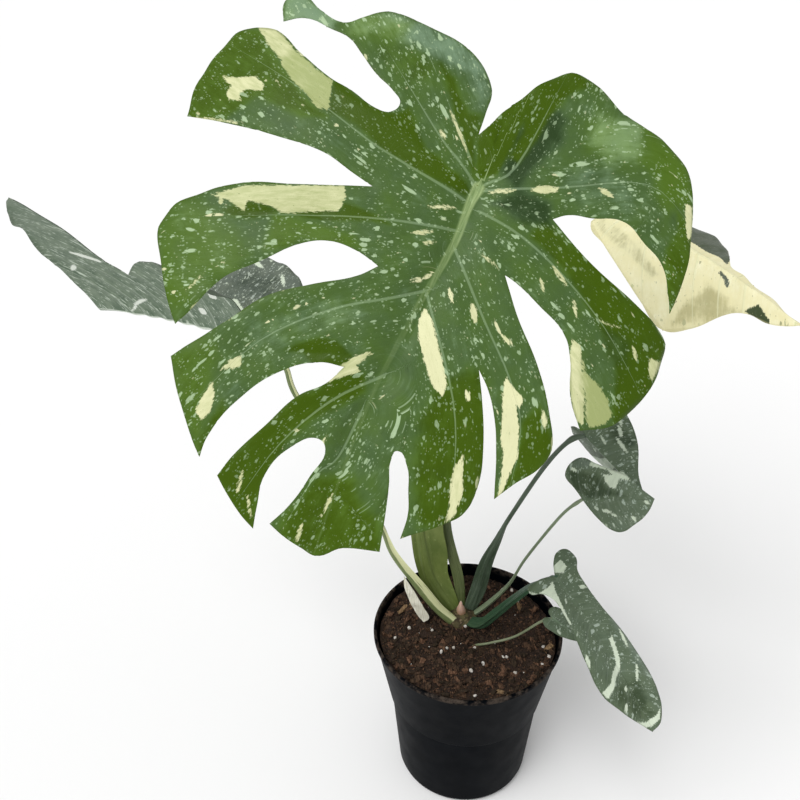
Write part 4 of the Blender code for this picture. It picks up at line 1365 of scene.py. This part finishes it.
def leaves_here():
    """Every leaf's data, in millimetres and degrees.

    turn is heading, pitch and roll. bearing is the side of the crown that the stalk grows from, foot
    and top its widths there and at the blade, sheath the share of its length that has wings, wings
    how far they stand out on its two sides, and wing_turn how far round they are from its facing
    side. cell is the size of the blade's faces and rib the midrib's width at its foot; rib_fade and
    rib_drop are how clearly its colour shows there and how soon that ends. quilt, spread and wave
    are how far the blade swells between veins, how wide a vein's hollow is and how much it waves.
    """
    # Each leaf's zones paint sheen and shade into its colour; its tone is that painting's level outside
    # them.
    return [
        {"name": "main", "slot": "green_blade", "outline": MAIN_OUTLINE, "seed": 3,
         "place": (-11, -90, 452), "turn": (-123, -44, -29), "shape": (6, 12, 8, 0.0012, 90),
         "bearing": 142, "foot": 12.5, "top": 6, "sheath": 0.50, "wings": (19, 5.5), "wing_turn": 84,
         "facing": (0.25, -1, 0),
         "stalk": [(-23, 13, 27), (-33, 17, 55), (-40, 22, 115), (-38, 29, 215), (-29, 21, 325),
                   (-17, -17, 410), (-12, -59, 437)],
         "rib": 7.5, "midrib": MAIN_MIDRIB, "veins": MAIN_VEINS, "patches": MAIN_PATCHES,
         "streaks": MAIN_STREAKS, "sheen_shade_zones": MAIN_SHEEN_SHADE_ZONES, "tone": 0.12, "warmth": -0.15,
         "rib_fade": 0.95, "rib_drop": 2.2, "quilt": 2.2, "spread": 11, "wave": 2.0,
         "creases": [(124, 70, 79, 52, 5, -2.0), (62, 133, 30, 121, 5, -2.0)]},
        {"name": "left", "slot": "grey_blade", "outline": LEFT_OUTLINE, "seed": 5,
         "place": (-199, 38, 282), "turn": (144, -5, 20), "shape": (45, 15, 6, 0, 0),
         "bearing": 220, "foot": 11, "top": 5, "wings": (2.5, 5.5), "wing_turn": 70,
         "stalk": [(-24, -3, 21), (-45, 0, 51), (-63, 2, 81), (-75, 5, 115), (-107, 20, 173),
                   (-142, 34, 224), (-151, 39, 251), (-169, 40, 269), (-191, 39, 278)],
         "rib": 6.5, "midrib": [(0, -4), (0, 30), (0, 80), (-1, 120), (-2, 148)],
         "veins": side_veins(150, 88, 6, 12), "quilt": 0.9, "wave": 2.2,
         "streaks": [(-56, -28, -50, -20, 7), (-28, 2, -20, 10, 7), (-84, 104, -74, 78, 6),
                     (-62, 122, -54, 134, 4), (-24, 70, -12, 96, 3), (-12, 92, -4, 104, 2),
                     (10, 14, 16, 44, 3.5), (22, 0, 26, 14, 3.5), (26, 10, 34, 30, 3),
                     (24, 58, 44, 62, 3),
                     (60, -20, 74, -6, 3), (76, 16, 84, 34, 4)],
         "patches": [(0.1, [(22, 0), (26, -4), (34, 10), (33, 14), (28, 12)])],
         "sheen_shade_zones": [(-0.7, 0.2, 14, [(-84, 12), (-60, 10), (-20, 70), (-40, 80), (-70, 50)]),
                   (-0.5, 0.0, 20, [(40, -20), (66, -10), (70, 30), (44, 26)])]},
        {"name": "cream", "slot": "cream_blade", "outline": CREAM_OUTLINE, "seed": 8,
         "place": (133, 128, 347), "turn": (-36, -13, 16), "shape": (-20, 25, 10, 0, 0),
         "bearing": 86, "foot": 8, "top": 5, "wings": (2.5, 2.5),
         "stalk": [(-3, 19, 37), (-15, 31, 90), (-15, 49, 157), (-9, 72, 215), (0, 96, 262),
                   (16, 117, 303), (41, 129, 329), (75, 136, 350), (107, 138, 358),
                   (122, 135, 352)],
         "rib": 5, "midrib": [(0, -4), (0, 40), (0, 90), (0, 130), (0, 166)],
         "veins": side_veins(168, 66, 6, 14), "quilt": 1.0, "wave": 2.4, "tone": 0.4,
         "patches": [(0.4, [(-62, 48), (-40, 44), (-8, 54), (-9, 70), (-12, 84), (-10, 93), (-44, 94),
                            (-64, 70)]),
                     (0.0, [(8, 133), (19, 127), (19, 152), (13, 148)]),
                     (0.5, [(2, 92), (5, 92), (8, 100), (12, 104), (10, 106), (5, 102)]),
                     (0.3, [(-30, -20), (-18, -22), (-10, -8), (-20, 10), (-34, 16)])],
         "sheen_shade_zones": [(-0.8, 0.0, 18, [(18, 92), (44, 84), (62, 88), (40, 118), (22, 126)]),
                   (-0.3, -0.6, 6, [(14, -16), (24, -16), (30, 8), (34, 30), (40, 50), (34, 54),
                                    (22, 30), (16, 6)])]},
        {"name": "hanging", "slot": "grey_blade", "outline": HANGING_OUTLINE, "seed": 9,
         "place": (90, -15, 219), "turn": (-42, -30, 75), "shape": (-45, 20, 10, 0, 0),
         "bearing": 42, "foot": 9, "top": 4, "wings": (5.5, 4.5), "sheath": 0.45, "wing_turn": 78,
         "facing": (0.1, -1, 0), "cell": 0.9,
         "stalk": [(14, 8, 31), (20, 7, 65), (29, 8, 90), (38, 10, 112), (62, -1, 176),
                   (78, -11, 210)],
         "rib": 3.4, "midrib": [(0, -3), (0, 20), (0, 45), (0, 64)], "rib_fade": 0.35,
         "veins": side_veins(65, 34, 5, 15), "quilt": 0.6, "wave": 1.0,
         "patches": [(0.45, [(1, 24), (10, 22), (30, 14), (26, 30), (14, 34), (2, 34)]),
                     (0.3, [(-2, 40), (6, 36), (22, 36), (12, 44), (-1, 48)])],
         "streaks": [(-25, 12, -21, 20, 3.5), (-17, 17, -15, 32, 3), (-30, 8, -27, 14, 2.5),
                     (-9, 8, -7, 16, 2)],
         "sheen_shade_zones": [(-0.6, 0.1, 8, [(-20, 4), (-14, 12), (-18, 34), (-30, 26), (-26, 14)])]},
        {"name": "small", "slot": "grey_blade", "outline": SMALL_OUTLINE, "seed": 12,
         "place": (89, -39, 174), "turn": (-28, 21, 54), "shape": (12, 30, 10, 0, 0),
         "bearing": 6, "foot": 5, "top": 2.6, "wings": (1.2, 1.2), "cell": 0.8,
         "stalk": [(25, 2, 19), (41, -2, 46), (52, -9, 82), (69, -23, 131), (79, -31, 156)],
         "rib": 3.0, "midrib": [(0, -1), (1, 20), (2, 40), (1, 57)], "rib_fade": 0.35,
         "veins": side_veins(58, 30, 5, 14), "quilt": 0.6, "wave": 0.8, "tone": 0.3,
         "patches": [(0.25, [(-26, 8), (-31, 8), (-27, 16), (-25, 24), (-20, 36), (-14, 40), (-16, 32),
                             (-8, 28), (-9, 24), (-13, 20), (-19, 19), (-19, 26), (-23, 22)])],
         "streaks": [(9, 17, 11, 24, 2.6), (12, 25, 14, 29, 2.2), (20, 18, 23, 22, 2),
                     (14, 41, 17, 44, 3), (2, 50, 4, 54, 2.5), (-25, -8, -22, -4, 2.5),
                     (-8, 50, -6, 53, 2)],
         "sheen_shade_zones": [(0.4, -0.8, 6, [(-33, -4), (-26, -6), (-24, 6), (-30, 10)]),
                   (-0.7, 0.3, 8, [(-24, -12), (-8, -8), (0, 2), (-2, 36), (-10, 20), (-20, 14)])]},
        {"name": "low", "slot": "grey_blade", "outline": LOW_OUTLINE, "seed": 15,
         "place": (72, -55, 104), "turn": (-48, -30, 0), "shape": (10, 30, 12, 0, 0),
         "bearing": -42, "foot": 9, "top": 5, "wings": (5, 6), "sheath": 0.8, "cell": 1.0,
         "stalk": [(17, -21, 15), (29, -24, 30), (42, -26, 48), (55, -33, 71), (64, -43, 89)],
         "rib": 3.0, "midrib": [(0, -2), (0, 40), (1, 90), (1, 140)], "rib_fade": 0.35,
         "veins": side_veins(142, 26, 8, 20), "quilt": 0.6, "wave": 1.2,
         "patches": [(0.15, [(-11, 62), (-7, 63), (-4, 74), (0, 82), (8, 85), (16, 90), (28, 92),
                             (26, 98), (16, 95), (8, 90), (-1, 87), (-6, 80)]),
                     (0.1, [(-16, 130), (-8, 133), (4, 132), (12, 126), (8, 134), (0, 138),
                            (-10, 137)]),
                     (0.1, [(6, 0), (14, 2), (26, 2), (34, -6), (26, 8), (20, 16), (20, 34), (17, 36),
                            (14, 20), (12, 10)]),
                     (0.3, [(-13, -10), (-3, -9), (-2, -4), (-8, 0), (-14, -3)])],
         "streaks": [(22, 62, 26, 70, 4), (3, 100, 6, 103, 3.5), (12, 110, 18, 115, 3),
                     (-16, 92, -9, 102, 2.5), (-17, 20, -12, 16, 3), (-20, 62, -18, 76, 2.5)],
         "sheen_shade_zones": [(0.7, -0.5, 8, [(-25, 50), (-17, 50), (-17, 100), (-24, 112)]),
                   (-0.6, 0.6, 12, [(-10, 100), (14, 96), (20, 106), (6, 128), (-8, 130)])]},
        {"name": "tucked", "slot": "grey_blade", "outline": TUCKED_OUTLINE, "seed": 18,
         "place": (73, -51, 54), "turn": (-34, -13, 27), "shape": (10, 30, 10, 0, 0),
         "bearing": -108, "foot": 4.5, "top": 2.2, "wings": (0.8, 0.8), "cell": 0.6,
         "stalk": [(5, -27, -4), (13, -37, 7), (25, -40, 13), (45, -41, 22), (65, -45, 44)],
         "rib": 1.8, "midrib": [(0, -1), (0, 18), (0, 35)],
         "veins": side_veins(36, 10, 4, 20), "quilt": 0.3, "wave": 0.4},
    ]


SHEATH = {"place": (-35, -11.5, 10), "turn": (102, 82, -22), "shape": (0, 20, 4, 0, 0)}
SHEATH_THICKNESS = 0.0005

CREAM_MARK = (0.70, 0.70, 0.42)
WHITE_MARK = (0.64, 0.72, 0.57)
DARK_MARK = (0.050, 0.070, 0.030)

# The grey and left upper sides are the leaf green made greyer and bluer: painted sky reflection and
# shade on the leaves further back and lower down.
UPPER_SIDES = {
    "main": {
        "tones": (((0.022, 0.047, 0.012), (0.045, 0.088, 0.001)),
                  ((0.056, 0.102, 0.038), (0.074, 0.140, 0.014)),
                  ((0.165, 0.255, 0.155), (0.185, 0.290, 0.095))),
        "speck": (0.40, 0.53, 0.32), "mark": CREAM_MARK, "wash": (0.330, 0.380, 0.150),
        "rib": ((0.12, 0.20, 0.06), (0.36, 0.46, 0.21)), "veins": 0.38, "speckle": 1.0, "seed": 0.0,
    },
    "grey": {
        "tones": (((0.044, 0.066, 0.044), (0.050, 0.074, 0.036)),
                  ((0.110, 0.150, 0.105), (0.120, 0.160, 0.092)),
                  ((0.215, 0.260, 0.210), (0.210, 0.260, 0.170))),
        "speck": (0.40, 0.48, 0.40), "mark": WHITE_MARK, "wash": (0.330, 0.400, 0.310),
        "rib": ((0.10, 0.15, 0.09), (0.22, 0.29, 0.20)), "veins": 0.12, "speckle": 1.1, "seed": 4.0,
    },
    "left": {
        "tones": (((0.045, 0.062, 0.050), (0.050, 0.070, 0.043)),
                  ((0.115, 0.142, 0.120), (0.125, 0.148, 0.108)),
                  ((0.215, 0.245, 0.215), (0.215, 0.245, 0.195))),
        "speck": (0.46, 0.52, 0.46), "mark": WHITE_MARK, "wash": (0.400, 0.450, 0.380),
        "rib": ((0.20, 0.26, 0.19), (0.44, 0.50, 0.42)), "veins": 0.30, "speckle": 1.5, "seed": 5.0,
    },
    "cream": {
        "tones": (((0.42, 0.40, 0.22), (0.52, 0.48, 0.24)),
                  ((0.74, 0.71, 0.44), (0.78, 0.72, 0.42)),
                  ((0.86, 0.85, 0.62), (0.86, 0.82, 0.56))),
        "speck": (0.62, 0.64, 0.36), "mark": DARK_MARK, "wash": (0.150, 0.170, 0.140),
        "rib": ((0.60, 0.60, 0.34), (0.80, 0.78, 0.52)), "veins": 0.55, "speckle": 0.25, "seed": 8.0,
    },
}

UNDERSIDES = {
    "main": {
        "tones": ((0.075, 0.135, 0.035), (0.150, 0.220, 0.090)), "speck": (0.34, 0.44, 0.24),
        "mark": CREAM_MARK, "veins": 0.55, "speckle": 1.0, "seed": 0.0,
    },
    "grey": {
        "tones": ((0.085, 0.110, 0.095), (0.185, 0.215, 0.190)), "speck": (0.42, 0.48, 0.43),
        "mark": (0.70, 0.74, 0.68), "veins": 0.55, "speckle": 1.0, "seed": 4.0,
    },
    "left": {
        "tones": ((0.085, 0.132, 0.082), (0.195, 0.250, 0.175)), "speck": (0.62, 0.70, 0.58),
        "mark": (0.74, 0.78, 0.70), "veins": 0.25, "speckle": 1.6, "seed": 6.0,
    },
    "cream": {
        "tones": ((0.60, 0.58, 0.34), (0.78, 0.76, 0.54)), "speck": (0.74, 0.74, 0.50),
        "mark": DARK_MARK, "veins": 0.55, "speckle": 1.0, "seed": 8.0,
    },
}

# Each stalk's deep and light colour, and the cream stripe that one of them has.
STALK_TONES = {
    "main": ((0.100, 0.145, 0.026), (0.185, 0.235, 0.060)),
    "left": ((0.100, 0.140, 0.045), (0.220, 0.270, 0.110)),
    "cream": ((0.060, 0.085, 0.022), (0.130, 0.160, 0.060)),
    "hanging": ((0.030, 0.055, 0.025), (0.095, 0.130, 0.090)),
    "small": ((0.120, 0.160, 0.085), (0.240, 0.300, 0.190)),
    "low": ((0.018, 0.055, 0.026), (0.050, 0.105, 0.055)),
    "tucked": ((0.140, 0.170, 0.090), (0.260, 0.290, 0.180)),
}
STRIPES = {"left": (0.69, 0.84, (0.66, 0.68, 0.38))}


def make_leaves():
    """Every leaf's blade and stalk; the leaves with no finish of their own have the grey one."""
    finishes = {}
    for name in UPPER_SIDES:
        finishes[name] = (leaf_skin("leaf_" + name, **UPPER_SIDES[name]),
                          leaf_underside("leaf_" + name + "_under", **UNDERSIDES[name]))
    for number, leaf in enumerate(leaves_here()):
        name = leaf["name"]
        make_blade(leaf, *finishes.get(name, finishes["grey"]))
        deep, light = STALK_TONES[name]
        skin = stalk_skin("stalk_" + name, deep, light, number + 1.0, STRIPES.get(name))
        make_stalk(leaf, skin, "striped_stalk" if name in STRIPES else "stalk")


def make_dry_sheath():
    """The dead wing beside the striped stalk: a thin crumpled sheet."""
    mesh = flat_sheet("fine_papery_sheath", SHEATH_OUTLINE, 0.8)
    flat, corners = flat_points(mesh)
    write_map(mesh, "Flat", flat[corners])
    rise = 0.8 * ripple(flat, 21, 16) + 0.5 * ripple(flat, 22, 7)
    points = placed(bent(flat, rise, SHEATH["shape"]), SHEATH)
    sheath = sheet_object("fine_papery_sheath", mesh, points, paper_finish())
    skin = sheath.modifiers.new("Thickness", "SOLIDIFY")
    skin.thickness = SHEATH_THICKNESS
    skin.offset = 0
    apply_modifiers(sheath)
    smooth(sheath, 50)
    return finish_piece(sheath, "dry_sheath", "papery_sheath")


# ---------------------------------------------------------------- studio


# The camera's place and how far it looks down, and how bright the sky and the key light are.
CAMERA_PLACE = (-0.0605, -0.6357, 0.8263)
CAMERA_DOWN = 33.2
CAMERA_LENS = 45
FLOOR_SIZE = 12
SKY_STRENGTH = 0.58
KEY_SOURCE = (-0.5, -0.55, 1.0)
KEY_SPREAD = 42
KEY_POWER = 2.3


def make_floor():
    deselect()
    bpy.ops.mesh.primitive_grid_add(
        x_subdivisions=2, y_subdivisions=2, size=FLOOR_SIZE, location=(0, 0, 0))
    floor = bpy.context.active_object
    floor.name = "studio_floor"
    made, tree, shader = new_finish("studio_white", 0.9, Specular_IOR_Level=0.1)
    cloud = noise(tree, object_place(tree), 0.6, 2.0)
    connect(tree, shader, mix(tree, cloud, (0.86, 0.86, 0.86), (0.88, 0.88, 0.88)))
    floor.data.materials.append(made)


def add_sun(name, source, spread, power):
    """A broad even light that comes from the direction of source."""
    light = bpy.data.lights.new(name, "SUN")
    light.angle = math.radians(spread)
    light.energy = power
    lamp = bpy.data.objects.new(name, light)
    lamp.location = source
    lamp.rotation_euler = Vector(source).to_track_quat("Z", "Y").to_euler()
    bpy.context.scene.collection.objects.link(lamp)


def make_studio():
    make_floor()
    world = bpy.data.worlds.new("studio_world")
    world.use_nodes = True
    sky = world.node_tree.nodes["Background"]
    sky.inputs["Color"].default_value = (1, 1, 1, 1)
    sky.inputs["Strength"].default_value = SKY_STRENGTH
    bpy.context.scene.world = world
    bpy.context.scene.view_settings.view_transform = "Standard"
    add_sun("key_light", KEY_SOURCE, KEY_SPREAD, KEY_POWER)
    lens = bpy.data.cameras.new("camera")
    lens.lens = CAMERA_LENS
    lens.sensor_width = 36
    eye = bpy.data.objects.new("camera", lens)
    eye.location = CAMERA_PLACE
    eye.rotation_euler = (math.radians(90 - CAMERA_DOWN), 0, 0)
    bpy.context.scene.collection.objects.link(eye)
    bpy.context.scene.camera = eye


make_pot()
make_soil()
dress_soil()
make_crown()
make_growing_tip()
make_dry_sheath()
make_leaves()
make_studio()
